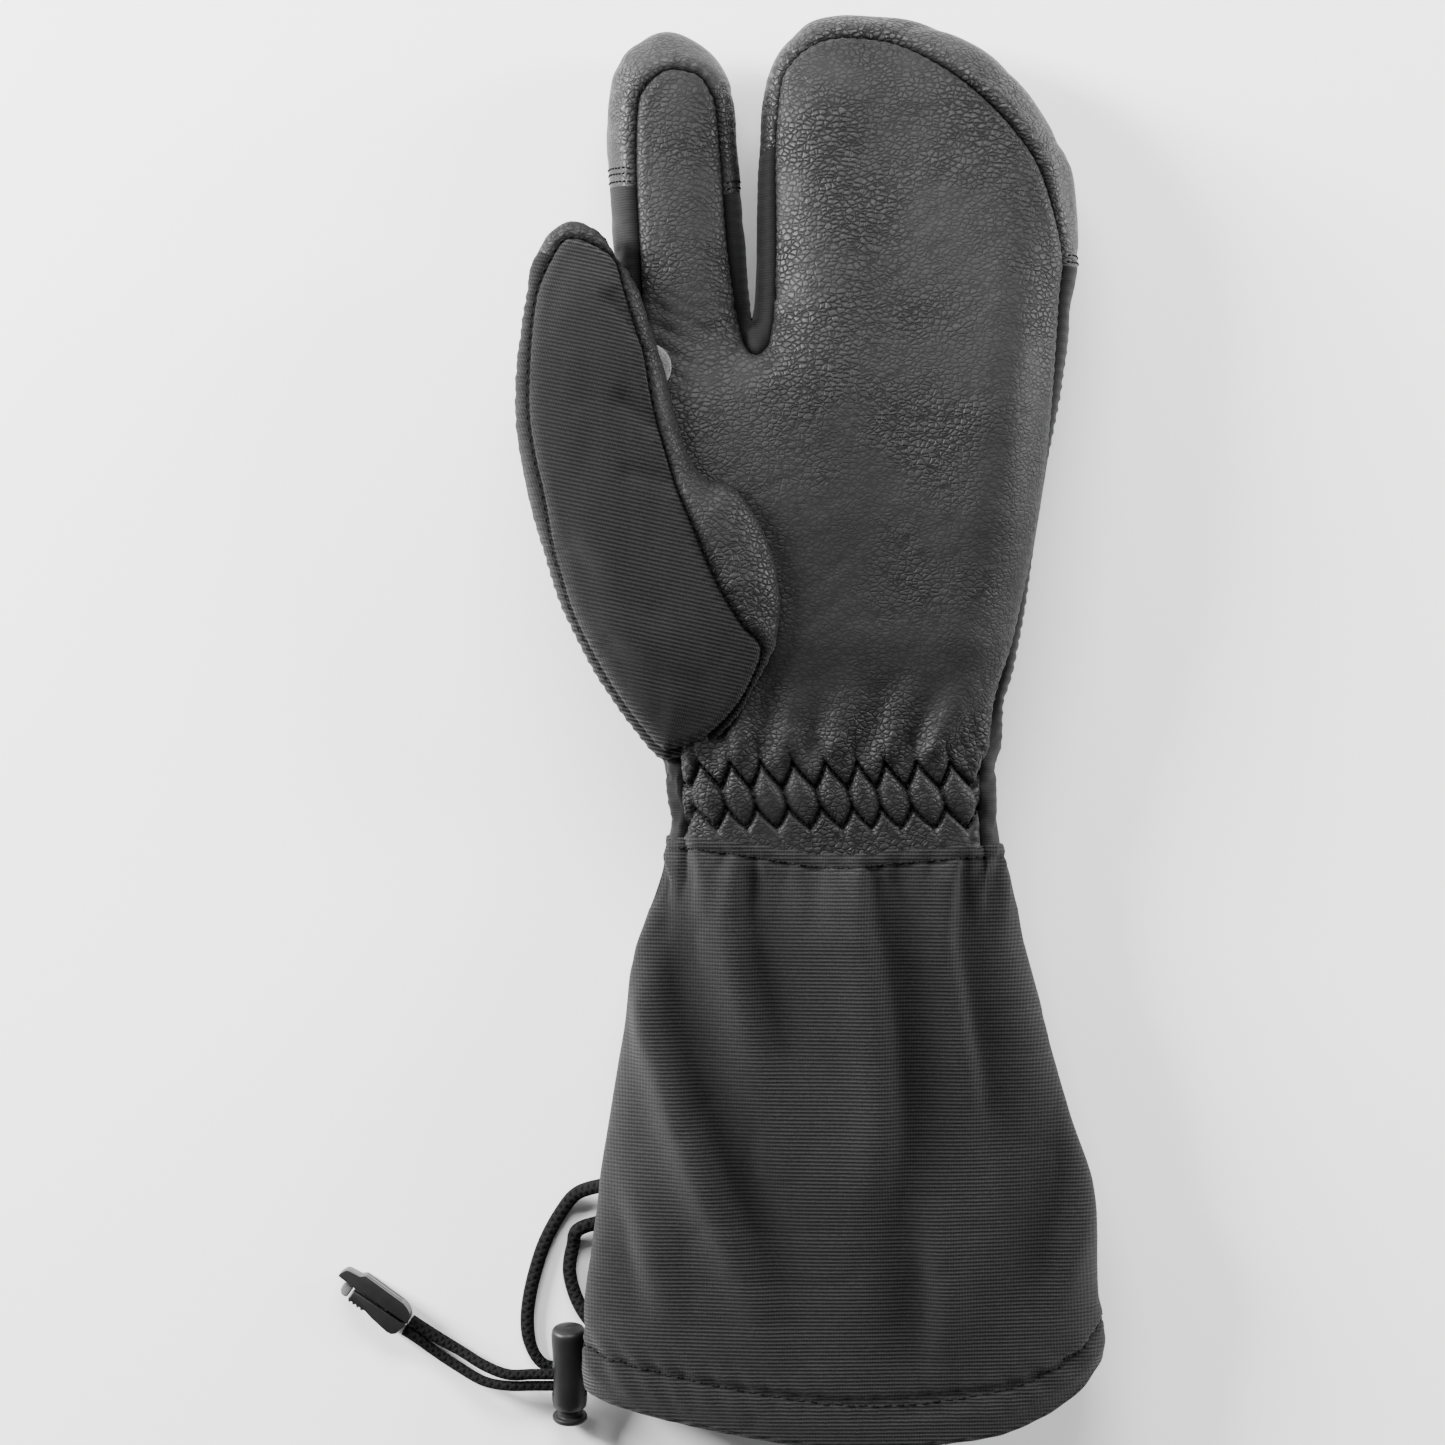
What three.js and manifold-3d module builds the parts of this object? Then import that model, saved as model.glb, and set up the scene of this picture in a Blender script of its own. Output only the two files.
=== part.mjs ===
// A three-finger ("lobster") ski mitten with a long gauntlet, lying palm up on a flat surface.
// Millimetres. X runs across the palm away from the thumb, Y towards the fingertips, Z up out of the palm.
// The part's origin is on the surface that the mitten lies on, under the middle of the palm. The numbers
// below count Y from the gathered wrist, and the finished group is moved by PALM_MIDDLE.
//
// The mitten is made of nested layers: an outer shell cut into its sewn panels, a layer of wadding and a
// fleece lining. The index sleeve, the sleeve for the other three fingers, the thumb and the gauntlet are
// parts of their own, because they bend. A drawcord runs in the hem and leaves it through two eyelets.
import * as THREE from "three";
import { mergeVertices } from "three/addons/utils/BufferGeometryUtils.js";
import Module from "manifold-3d";

const wasm = await Module();
wasm.setup();

// ---- Driving dimensions -------------------------------------------------------------------------------

const PALM_MIDDLE = 60;
const SIDES = 16; // points round a sleeve
const FLATTENED = 5; // how far the underside is pressed flat by the mitten's weight
const SLEEVE_POWER = 2.4; // 2 is an ellipse; more is squarer
const GAUNTLET_POWER = 2.2;
const GAP = 0.35; // between neighbouring pieces

const SHELL_WALL = 1.4; // leather and face fabric
const WADDING_WALL = 4.4;
const LINING_WALL = 1.4;
const SHELL_IN = SHELL_WALL;
const WADDING_OUT = SHELL_IN + GAP;
const WADDING_IN = WADDING_OUT + WADDING_WALL;
const LINING_OUT = WADDING_IN + GAP;
const LINING_IN = LINING_OUT + LINING_WALL;

const CUFF_WALL = 1.5;
const CUFF_LINING_OUT = 8; // the gauntlet's lining hangs free of its shell, with the drawcord between
const CUFF_LINING_IN = 9.2;
const CORD_DEPTH = 4.45; // of the drawcord under the gauntlet's surface

const HAND_START = -12; // where the hand's sleeve ends, inside the mouth of the gauntlet
const INDEX_KNUCKLE = 151; // the sleeves bend here
const FINGERS_KNUCKLE = 137;
const KNUCKLE_GAP = 1.2;
const WADDING_START = 16; // no wadding under the gathered wrist
const WADDING_SEAM = 20; // the height where the palm's wadding meets the back's
const THUMB_WADDING_SEAM = 39;
const THUMB_GAP = 1.0; // between the thumb and the palm that it lies against

const HEM_FOLD = 1.4; // depth of the folded edge
const HEM_DEPTH = 11.5; // from the edge up to the stitched line

const CORD_RADIUS = 1.6;
const CORD_SIDES = 8;

const EYELET_HOLE = 2.1;
const EYELET_BARREL = 3.0;
const EYELET_FLANGE = 4.4;

// Sleeves: [y, left x, right x, bottom z, top z, turn]. turn is 0 on the straight and 1 at the tip, and
// says how much of an inner layer's offset goes into Y.
const HAND_END = 121; // the web between the two sleeves
const HAND = [
  [HAND_START, -42, 41.5, 4, 37, 0],
  [0, -42.5, 42, 4, 37, 0],
  [30, -50, 48, 0, 45, 0],
  [75, -57, 55.5, 0, 48, 0],
  [HAND_END, -58, 64.3, 0, 44, 0],
];
const INDEX = [
  [108, -57.2, -22, 0, 40, 0],
  [HAND_END, -57.6, -22, 0, 40, 0],
  [172, -60.8, -25.8, 0, 36, 0],
  [190, -60.6, -27.6, 2, 34, 0.15],
  [202, -56.2, -31.8, 6, 29, 0.55],
  [209.3, -43.5, -43.5, 17.5, 17.5, 1],
];
const FINGERS = [
  [108, -21.4, 61.6, 0, 43.2, 0],
  [HAND_END, -20.9, 63.2, 0, 43.2, 0],
  [152, -20.2, 67.3, 0, 41, 0],
  [178, -19, 62.6, 0, 37, 0.2],
  [200, -15.5, 45.5, 4, 31, 0.5],
  [209, -7.5, 30, 8, 26, 0.8],
  [213.8, 11.3, 11.3, 17.5, 17.5, 1],
];
const GAUNTLET = [
  [-13.5, -45, 48, 0.5, 42, 0],
  [-30, -51, 51.7, 0, 45, 0],
  [-80, -60.3, 62.2, 0, 48, 0],
  [-125, -65.4, 71.6, 0, 47.4, 0],
  [-150, -66, 73.2, 0, 45, 0],
  [-175, -64, 68, 0, 42, 0],
];
// The thumb's own frame: Y along the thumb, X towards the palm, turned and moved by placeThumb.
const THUMB = [
  [-16, -12, 10, 20, 44, 0],
  [5, -20.5, 28, 18, 52, 0],
  [22, -25, 33, 19, 55, 0],
  [42, -28, 29, 20, 56, 0],
  [62, -28.4, 15.5, 21, 56, 0],
  [88, -25.8, 13, 23, 55, 0.05],
  [110, -18, 10.5, 27, 50, 0.35],
  [123, -11, 5.5, 32, 45, 0.75],
  [128.3, -2, -2, 39, 39, 1],
];
const THUMB_FOOT = 13; // the thumb's lowest edge, beside the wrist
const THUMB_ROOT = new THREE.Vector3(-40, 30, 0);
const THUMB_LEAN = THREE.MathUtils.degToRad(12.9);
const THUMB_DOOR_END = 46; // up to here, along the thumb, its hollow is open to the palm's

// Seams, seen from above. The palm leather is one piece with a face for each sleeve.
const PALM_LEATHER = [
  [44, -20], [40.2, -5], [39.7, 5.4], [42.4, 17.3], [50, 48.3], [57.4, 87.9], [61.2, 132.8],
  [62.1, 147.7], [56.3, 169], [48.9, 180.9], [38.2, 192], [27.5, 200], [16.7, 205.3], [6.2, 206.9],
  [-1.3, 206.4], [-7.3, 203.7], [-12, 199], [-14.6, 192.5], [-16.2, 171.2], [-16.2, 141.2], [-17.3, 125],
  [-19.4, 120.8], [-22.3, 121], [-24.8, 125.3], [-27.5, 147.7], [-29, 170], [-30.6, 186], [-32.3, 191.4],
  [-35.4, 195.8], [-41.8, 197.8], [-47.3, 196.3], [-51, 192.5], [-53.2, 187], [-53.5, 170], [-52.7, 145.5],
  [-53, 120], [-57, 104], [-60, 75], [-55, 40], [-49, 14], [-48, -20],
];
const THUMB_BACK = [
  [-70.7, 152], [-76, 143.4], [-79.8, 134.9], [-81.4, 122], [-81.9, 104], [-80.3, 92], [-77.6, 81],
  [-74, 62], [-72, 40], [-60, 20], [-46, 5], [-34, 10], [-22, 28], [-18.4, 39.7], [-30.2, 55.6],
  [-36.5, 69.7], [-42.9, 87], [-47.3, 102.9], [-50.5, 119.9], [-54.7, 131.8], [-60, 145],
];
const HEM = [
  [-80, -152], [-66, -159.3], [-36, -166.8], [4.6, -172.3], [40, -169.8], [56, -165.5], [67, -159],
  [75, -149], [82, -138],
];
const INDEX_CAP_START = 167; // the fingertip caps are leather all round
const FINGERS_CAP_LEFT = [-30, 175];
const FINGERS_CAP_RIGHT = [80, 139];

const leather = new THREE.MeshStandardMaterial({ color: 0x3a3a3b, roughness: 0.55, metalness: 0 });
const leatherCap = new THREE.MeshStandardMaterial({ color: 0x47474a, roughness: 0.5, metalness: 0 });
const faceFabric = new THREE.MeshStandardMaterial({ color: 0x1d1d1f, roughness: 0.85, metalness: 0 });
const softshell = new THREE.MeshStandardMaterial({ color: 0x151516, roughness: 0.9, metalness: 0 });
const fleece = new THREE.MeshStandardMaterial({ color: 0x26262a, roughness: 1, metalness: 0 });
const wadding = new THREE.MeshStandardMaterial({ color: 0xd8d8d4, roughness: 1, metalness: 0 });
const patchLeather = new THREE.MeshStandardMaterial({ color: 0x9a9a9c, roughness: 0.6, metalness: 0 });
const elastic = new THREE.MeshStandardMaterial({ color: 0x101011, roughness: 0.9, metalness: 0 });
const plastic = new THREE.MeshStandardMaterial({ color: 0x1b1b1c, roughness: 0.45, metalness: 0 });
const plasticGrey = new THREE.MeshStandardMaterial({ color: 0x6f7072, roughness: 0.45, metalness: 0 });
const darkMetal = new THREE.MeshStandardMaterial({ color: 0x2b2b2e, roughness: 0.35, metalness: 0.9 });
const springSteel = new THREE.MeshStandardMaterial({ color: 0xb0b2b5, roughness: 0.3, metalness: 1 });

// ---- Solids -------------------------------------------------------------------------------------------

function solidOf(geometry) {
  const bare = geometry.index ? geometry.toNonIndexed() : geometry.clone();
  bare.deleteAttribute("normal");
  bare.deleteAttribute("uv");
  const merged = mergeVertices(bare, 1e-4);
  return new wasm.Manifold(
    new wasm.Mesh({
      numProp: 3,
      vertProperties: merged.getAttribute("position").array,
      triVerts: new Uint32Array(merged.index.array),
    }),
  );
}

function geometryOf(solid) {
  const mesh = solid.getMesh();
  const geometry = new THREE.BufferGeometry();
  geometry.setAttribute("position", new THREE.BufferAttribute(new Float32Array(mesh.vertProperties), 3));
  geometry.setIndex(new THREE.BufferAttribute(new Uint32Array(mesh.triVerts), 1));
  geometry.computeVertexNormals();
  return geometry;
}

function piece(name, solid, material) {
  const mesh = new THREE.Mesh(geometryOf(solid), material);
  mesh.name = name;
  return mesh;
}

// A point of a sleeve's section at angle, where 0 is the right side and a quarter turn is the top.
function sectionPoint(station, inset, power, angle) {
  const [y, left, right, bottom, top, turn] = station;
  const shrink = inset * Math.sqrt(1 - turn * turn);
  const sunk = bottom - FLATTENED * (1 - turn);
  const halfWidth = Math.max((right - left) / 2 - shrink, 0);
  const halfHeight = Math.max((top - sunk) / 2 - shrink, 0);
  const c = Math.cos(angle);
  const s = Math.sin(angle);
  const z = (sunk + top) / 2 + halfHeight * Math.sign(s) * Math.abs(s) ** (2 / power);
  return new THREE.Vector3(
    (left + right) / 2 + halfWidth * Math.sign(c) * Math.abs(c) ** (2 / power),
    y - inset * turn,
    turn < 1 ? Math.max(z, bottom + shrink) : z,
  );
}

// The angle of corner i of a section. The flat underside lies between two corners.
const cornerAngle = (i) => (2 * Math.PI * (i + 0.5)) / SIDES;

// A closed loft through the stations, inset all round. openBy carries its first section further out, so
// that a cavity cuts right through the mouth.
function loft(stations, inset = 0, power = SLEEVE_POWER, openBy = 0) {
  const first = stations[0];
  const outwards = Math.sign(first[0] - stations[1][0]);
  const mouth = openBy ? [[first[0] + openBy * outwards, ...first.slice(1)]] : [];
  const rings = [...mouth, ...stations];
  const points = [];
  for (const ring of rings) {
    for (let i = 0; i < SIDES; i++) {
      points.push(sectionPoint(ring, inset, power, cornerAngle(i)));
    }
  }
  const centre = (ring) =>
    new THREE.Vector3((ring[1] + ring[2]) / 2, ring[0] - inset * ring[5], (ring[3] + ring[4]) / 2);
  const startCentre = points.push(centre(rings[0])) - 1;
  const endCentre = points.push(centre(rings[rings.length - 1])) - 1;
  const faces = [];
  const at = (ring, i) => ring * SIDES + (i % SIDES);
  for (let r = 0; r + 1 < rings.length; r++) {
    for (let i = 0; i < SIDES; i++) {
      faces.push(at(r, i), at(r, i + 1), at(r + 1, i + 1));
      faces.push(at(r, i), at(r + 1, i + 1), at(r + 1, i));
    }
  }
  for (let i = 0; i < SIDES; i++) {
    faces.push(startCentre, at(0, i + 1), at(0, i));
    faces.push(endCentre, at(rings.length - 1, i), at(rings.length - 1, i + 1));
  }
  // Sections that run towards +Y make a surface that faces in, so its triangles are turned round.
  const goesUp = rings[1][0] > rings[0][0];
  if (goesUp) {
    for (let i = 0; i < faces.length; i += 3) {
      [faces[i + 1], faces[i + 2]] = [faces[i + 2], faces[i + 1]];
    }
  }
  const geometry = new THREE.BufferGeometry().setFromPoints(points);
  geometry.setIndex(faces);
  return solidOf(withoutCollapsed(geometry));
}

// The geometry without the triangles that have no area, as at a tip, where a whole ring is one point.
function withoutCollapsed(geometry) {
  const merged = mergeVertices(geometry, 1e-4);
  const index = merged.index.array;
  const kept = [];
  for (let i = 0; i < index.length; i += 3) {
    const [a, b, c] = [index[i], index[i + 1], index[i + 2]];
    if (a !== b && b !== c && a !== c) kept.push(a, b, c);
  }
  merged.setIndex(kept);
  return merged;
}

function box(x0, x1, y0, y1, z0, z1) {
  const geometry = new THREE.BoxGeometry(x1 - x0, y1 - y0, z1 - z0);
  geometry.translate((x0 + x1) / 2, (y0 + y1) / 2, (z0 + z1) / 2);
  return solidOf(geometry);
}

const FAR = 400;
const above = (z) => box(-FAR, FAR, -FAR, FAR, z, FAR);
const below = (z) => box(-FAR, FAR, -FAR, FAR, -FAR, z);
const beyond = (y) => box(-FAR, FAR, y, FAR, -FAR, FAR);
const before = (y) => box(-FAR, FAR, -FAR, y, -FAR, FAR);

// A closed outline through the points, moved out by grow, or in where it is negative.
function outline(points, grow) {
  const corners = points.map(([x, y]) => new THREE.Vector2(x, y));
  const ccw = !THREE.ShapeUtils.isClockWise(corners);
  return corners.map((p, i) => {
    const before = corners[(i + corners.length - 1) % corners.length];
    const after = corners[(i + 1) % corners.length];
    const along = after.clone().sub(before).normalize();
    const out = new THREE.Vector2(along.y, -along.x).multiplyScalar(ccw ? grow : -grow);
    return p.clone().add(out);
  });
}

function prism(points, grow = 0, z0 = -20, z1 = 80) {
  const shape = new THREE.Shape(outline(points, grow));
  const geometry = new THREE.ExtrudeGeometry(shape, { depth: z1 - z0, bevelEnabled: false });
  geometry.translate(0, 0, z0);
  return solidOf(geometry);
}

function tube(path, radius, sides, steps) {
  const section = new THREE.Shape();
  for (let i = 0; i < sides; i++) {
    const a = (2 * Math.PI * i) / sides;
    section[i ? "lineTo" : "moveTo"](radius * Math.cos(a), radius * Math.sin(a));
  }
  return new THREE.ExtrudeGeometry(section, { steps, extrudePath: path, bevelEnabled: false });
}

const curve = (points) =>
  new THREE.CatmullRomCurve3(points.map((p) => new THREE.Vector3(...p)), false, "centripetal");

// ---- Hand, index sleeve and three-finger sleeve -------------------------------------------------------

// The outer form of the hand with both sleeves, inset for the inner layers.
function handForm(inset, openBy = 0) {
  return loft(HAND, inset, SLEEVE_POWER, openBy)
    .intersect(before(HAND_END - inset))
    .add(loft(INDEX, inset))
    .add(loft(FINGERS, inset));
}

// The part of that form that the thumb lies against, grown by the distance to keep from it.
const flank = (grow) => loft(HAND, -grow).add(loft(INDEX, -grow));

const handRange = before(INDEX_KNUCKLE - KNUCKLE_GAP / 2)
  .subtract(box(-22, FAR, FINGERS_KNUCKLE - KNUCKLE_GAP / 2, FAR, -FAR, FAR))
  .intersect(beyond(HAND_START));
const indexRange = box(-FAR, -22, INDEX_KNUCKLE + KNUCKLE_GAP / 2, FAR, -FAR, FAR);
const fingersRange = box(-22, FAR, FINGERS_KNUCKLE + KNUCKLE_GAP / 2, FAR, -FAR, FAR);

const shellLayer = handForm(0, 20).subtract(handForm(SHELL_IN, 40));
const waddingLayer = handForm(WADDING_OUT, 20).subtract(handForm(WADDING_IN, 40));
const liningLayer = handForm(LINING_OUT, 20).subtract(handForm(LINING_IN, 40));

// ---- Thumb --------------------------------------------------------------------------------------------

function placeThumb(solid) {
  return solid
    .rotate([0, 0, THREE.MathUtils.radToDeg(THUMB_LEAN)])
    .translate([THUMB_ROOT.x, THUMB_ROOT.y, THUMB_ROOT.z]);
}

// The thumb as a closed bag, inset all round, that keeps clear of the palm.
function thumbForm(inset) {
  return placeThumb(loft(THUMB, inset))
    .subtract(flank(THUMB_GAP + inset))
    .intersect(beyond(THUMB_FOOT + inset));
}

// The way between the palm's hollow and the thumb's, cut through every layer of both.
const thumbDoor = placeThumb(
  loft(THUMB, LINING_IN).subtract(box(-FAR, FAR, THUMB_DOOR_END, FAR, -FAR, FAR)),
).intersect(above(26));

const thumbLayer = (out, inner) => thumbForm(out).subtract(thumbForm(inner)).subtract(thumbDoor);

const thumbShell = thumbLayer(0, SHELL_IN);
const thumbBack = prism(THUMB_BACK, 0, 38).subtract(flank(THUMB_GAP + SHELL_IN + 2 * GAP));
const thumbBackRim = prism(THUMB_BACK, GAP, 38 - GAP).subtract(flank(THUMB_GAP + SHELL_IN + GAP));
const thumbRest = thumbShell.subtract(thumbBackRim);
const thumbLeft = placeThumb(box(-FAR, -12, -FAR, FAR, -FAR, FAR));
const thumbRight = placeThumb(box(-12 + GAP, FAR, -FAR, FAR, -FAR, FAR));

// ---- Gauntlet -----------------------------------------------------------------------------------------

const cuffLoft = (inset, openBy = 0) => loft(GAUNTLET, inset, GAUNTLET_POWER, openBy);
const cuffLayer = (out, inner) => cuffLoft(out).subtract(cuffLoft(inner, 20).add(cuffEnd(inner)));

// Carries a cavity out through the wide end of the gauntlet.
function cuffEnd(inset) {
  const last = GAUNTLET[GAUNTLET.length - 1];
  const further = [last[0] - 20, ...last.slice(1)];
  return loft([GAUNTLET[GAUNTLET.length - 2], last, further], inset, GAUNTLET_POWER);
}

// Everything on the hand's side of the hem's curved edge, raised towards the hand.
function aboveHem(raise) {
  const edge = new THREE.SplineCurve(HEM.map(([x, y]) => new THREE.Vector2(x, y + raise))).getPoints(12);
  return prism([...edge.map((p) => [p.x, p.y]), [82, 40], [-80, 40]]);
}

const hemBand = (low, high) => aboveHem(low).subtract(aboveHem(high));

// Where the drawcord comes out: low on the thumb side, just under the edge that shows from above.
const EYELETS = {
  upper: { y: -106, angle: THREE.MathUtils.degToRad(180 + 22.5 * 0.86) },
  lower: { y: -115.5, angle: THREE.MathUtils.degToRad(180 + 22.5 * 1.6) },
};

const cuffSeamZ = 22;
const cuffShell = cuffLayer(0, CUFF_WALL)
  .intersect(aboveHem(HEM_FOLD + GAP))
  .subtract(eyeletHoles());
const cuffInner = cuffLayer(CUFF_LINING_OUT, CUFF_LINING_IN).intersect(before(-22));

// The hem's edge at x, found on the same curve that cuts the panels.
function hemY(x) {
  const spline = new THREE.SplineCurve(HEM.map(([hx, hy]) => new THREE.Vector2(hx, hy)));
  const points = spline.getPoints(200);
  return points.reduce((best, p) => (Math.abs(p.x - x) < Math.abs(best.x - x) ? p : best)).y;
}

// A point on the gauntlet's section at any y, between its stations.
function cuffPoint(y, inset, angle) {
  let i = 0;
  while (i + 2 < GAUNTLET.length && y < GAUNTLET[i + 1][0]) i++;
  const [a, b] = [GAUNTLET[i], GAUNTLET[i + 1]];
  const share = (y - a[0]) / (b[0] - a[0]);
  const station = a.map((v, k) => v + (b[k] - v) * share);
  const turns = (angle / (2 * Math.PI)) * SIDES - 0.5;
  const corner = Math.floor(turns);
  const from = sectionPoint(station, inset, GAUNTLET_POWER, cornerAngle(corner));
  const to = sectionPoint(station, inset, GAUNTLET_POWER, cornerAngle(corner + 1));
  return from.lerp(to, turns - corner);
}

function eyeletFrame({ y, angle }) {
  const step = 0.03;
  const at = cuffPoint(y, 0, angle);
  const round = cuffPoint(y, 0, angle + step).sub(cuffPoint(y, 0, angle - step)).normalize();
  const out = new THREE.Vector3(round.z, 0, -round.x);
  if (out.x > 0) out.negate();
  return { at, out };
}

function eyeletHoles() {
  const cut = (eyelet) => {
    const { at, out } = eyeletFrame(eyelet);
    const geometry = new THREE.CylinderGeometry(EYELET_BARREL + GAP, EYELET_BARREL + GAP, 12, 12);
    geometry.applyQuaternion(new THREE.Quaternion().setFromUnitVectors(new THREE.Vector3(0, 1, 0), out));
    geometry.translate(at.x, at.y, at.z);
    return solidOf(geometry);
  };
  return cut(EYELETS.upper).add(cut(EYELETS.lower));
}

// A two-part eyelet: barrel through the fabric with a flange outside and a washer inside.
function eyelet(name, place) {
  const profile = [
    [EYELET_HOLE, -2.2], [EYELET_BARREL, -2.2], [EYELET_BARREL, 0.6], [EYELET_FLANGE, 0.6],
    [EYELET_FLANGE - 0.5, 1.3], [EYELET_HOLE, 1.3], [EYELET_HOLE, -2.2],
  ].map(([x, z]) => new THREE.Vector2(x, z));
  const mesh = new THREE.Mesh(new THREE.LatheGeometry(profile, 12), darkMetal);
  const { at, out } = eyeletFrame(place);
  mesh.name = name;
  mesh.position.copy(at);
  mesh.quaternion.setFromUnitVectors(new THREE.Vector3(0, 1, 0), out);
  return mesh;
}

// The hidden run of the drawcord: from one eyelet down to the hem, round it, and up to the other eyelet.
function hemRun() {
  const points = [];
  const { upper, lower } = EYELETS;
  const full = 2 * Math.PI;
  const riser = (angle, ys) => ys.forEach((y) => points.push(cuffPoint(y, CORD_DEPTH, angle)));
  const intoEyelet = (place) => {
    const { at, out } = eyeletFrame(place);
    points.push(at.addScaledVector(out, -4.25));
  };
  intoEyelet(upper);
  riser(upper.angle, [upper.y - 4, upper.y - 10, -130, -143]);
  const start = upper.angle - 0.12;
  const end = lower.angle + 0.12 - full;
  const turns = 32;
  for (let i = 1; i < turns; i++) {
    const angle = start + ((end - start) * i) / turns;
    const x = cuffPoint(-158, CORD_DEPTH, angle).x;
    points.push(cuffPoint(hemY(x) + HEM_DEPTH / 2 + 0.6, CORD_DEPTH, angle));
  }
  riser(lower.angle, [-145, -133, lower.y - 10, lower.y - 4]);
  intoEyelet(lower);
  return new THREE.CatmullRomCurve3(points, false, "centripetal");
}

// ---- Drawcord, cord lock and cord end -----------------------------------------------------------------

// The cord lock stands on its plunger's cap and leans back on the cord that passes under it.
const LOCK_TILT = THREE.MathUtils.degToRad(18);
const LOCK_FOOT = new THREE.Vector3(-71.9, -171.6, 5.3); // the centre of the plunger's end
const LOCK_HOLE_UP = 12.2; // from the foot to the middle of the cord hole, along the barrel
const LOCK_RADIUS = 4.9;
const LOCK_BORE = 3.75;
const PLUNGER_RADIUS = 3.45;
const PLUNGER_TRAVEL = 2.5;
const CORD_SIDE = 1.75; // half the distance between the two cords in the lock

const lockHole = LOCK_FOOT.clone().add(
  new THREE.Vector3(0, Math.cos(LOCK_TILT), Math.sin(LOCK_TILT)).multiplyScalar(LOCK_HOLE_UP),
);
// Where a cord passes the lock, dx from its middle; side is 1 for the upper cord and -1 for the lower.
const inLock = (dx, side) => [
  lockHole.x + dx,
  lockHole.y + side * CORD_SIDE * Math.cos(LOCK_TILT),
  lockHole.z + side * CORD_SIDE * Math.sin(LOCK_TILT),
];
const TABLE = CORD_RADIUS + 0.2; // the height of a cord that lies on the surface

function strandStart(place) {
  const { at, out } = eyeletFrame(place);
  return [-1.7, 0.8, 3].map((d) => at.clone().addScaledVector(out, d).toArray());
}

const STRAND_A = [
  ...strandStart(EYELETS.upper),
  [-69.6, -109, 3.6], [-74.4, -114.5, TABLE], [-79, -123, TABLE], [-82, -132.3, TABLE],
  [-83.6, -140.4, TABLE], [-83.8, -147, TABLE], [-82.4, -152.8, TABLE], [-79.4, -156.7, TABLE],
  [-75.5, -157.2, TABLE], [-71.5, -154.6, TABLE], [-68.2, -151.4, TABLE], [-64, -148.9, TABLE],
  [-59.8, -149.8, TABLE], [-57.4, -153.4, 2.2], [-58.2, -157.8, 3.6], [-61.8, -161.4, 6],
  inLock(5.5, -1), inLock(0, -1), inLock(-10, -1), inLock(-17, -1),
  [-95.8, -160.6, 6.6], [-103.6, -156.6, 4], [-109.6, -152.7, 3.4], [-114.2, -149, 4.2],
  [-117.6, -146.7, 4.7],
];
const STRAND_B = [
  ...strandStart(EYELETS.lower),
  [-68.6, -118.6, 4.4], [-71.2, -124, TABLE], [-72.2, -130.6, TABLE], [-70.9, -136.6, 2.2],
  [-68.6, -141.4, 3.4], [-65.4, -145.4, 4.9], [-61.6, -148.6, 5], [-59.4, -151.6, 5.2],
  [-59.4, -155, 6.2], [-62, -157.9, 8],
  inLock(5.5, 1), inLock(0, 1), inLock(-10, 1), inLock(-17, 1),
  [-95.4, -156.2, 7.6], [-102.4, -152.4, 5], [-108.2, -149.2, 4.2], [-112.6, -146.4, 4.4],
  [-115.8, -144.2, 4.7],
];

function cordLock() {
  const group = new THREE.Group();
  group.position.copy(LOCK_FOOT);
  group.rotation.x = LOCK_TILT;

  const slot = (width, length, middleY) => {
    const geometry = new THREE.BoxGeometry(20, length, width);
    geometry.translate(0, middleY, 0);
    return solidOf(geometry);
  };
  const bodyStart = 4.4;
  const bodyEnd = 28;
  const roof = 1.6;
  const outside = [
    [0, bodyEnd], [LOCK_RADIUS - 0.9, bodyEnd], [LOCK_RADIUS - 0.2, bodyEnd - 0.8], [LOCK_RADIUS - 0.1, 24],
    [LOCK_RADIUS - 0.5, 18], [LOCK_RADIUS, 13.5], [LOCK_RADIUS, 9], [LOCK_RADIUS - 0.3, bodyStart],
    [LOCK_BORE, bodyStart], [LOCK_BORE, bodyEnd - roof], [0, bodyEnd - roof],
  ].map(([r, y]) => new THREE.Vector2(r, y)).reverse();
  const barrel = solidOf(new THREE.LatheGeometry(outside, 16)).subtract(slot(4.4, 7.8, LOCK_HOLE_UP));

  const stemEnd = 19;
  const inside = [
    [0, 0], [4.4, 0], [4.8, 0.5], [4.8, 1.6], [PLUNGER_RADIUS, 1.9], [PLUNGER_RADIUS, stemEnd - 0.4],
    [PLUNGER_RADIUS - 0.4, stemEnd], [0, stemEnd],
  ].map(([r, y]) => new THREE.Vector2(r, y));
  const slotMiddle = LOCK_HOLE_UP - PLUNGER_TRAVEL / 2;
  const plunger = solidOf(new THREE.LatheGeometry(inside, 16)).subtract(
    slot(4.4, 7.8 + PLUNGER_TRAVEL, slotMiddle),
  );

  const springPoints = [];
  const turns = 4;
  const perTurn = 8;
  const [low, high] = [stemEnd + 0.9, bodyEnd - roof - 0.9];
  for (let i = 0; i <= turns * perTurn; i++) {
    const angle = (2 * Math.PI * i) / perTurn;
    const y = low + ((high - low) * i) / (turns * perTurn);
    springPoints.push(new THREE.Vector3(2.6 * Math.cos(angle), y, 2.6 * Math.sin(angle)));
  }
  const springPath = new THREE.CatmullRomCurve3(springPoints);
  const spring = new THREE.Mesh(tube(springPath, 0.4, 4, turns * perTurn), springSteel);
  spring.name = "cord_lock_spring";

  group.add(
    piece("cord_lock_barrel", barrel, plastic),
    piece("cord_lock_plunger", plunger, plastic),
    spring,
  );
  return group;
}

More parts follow.
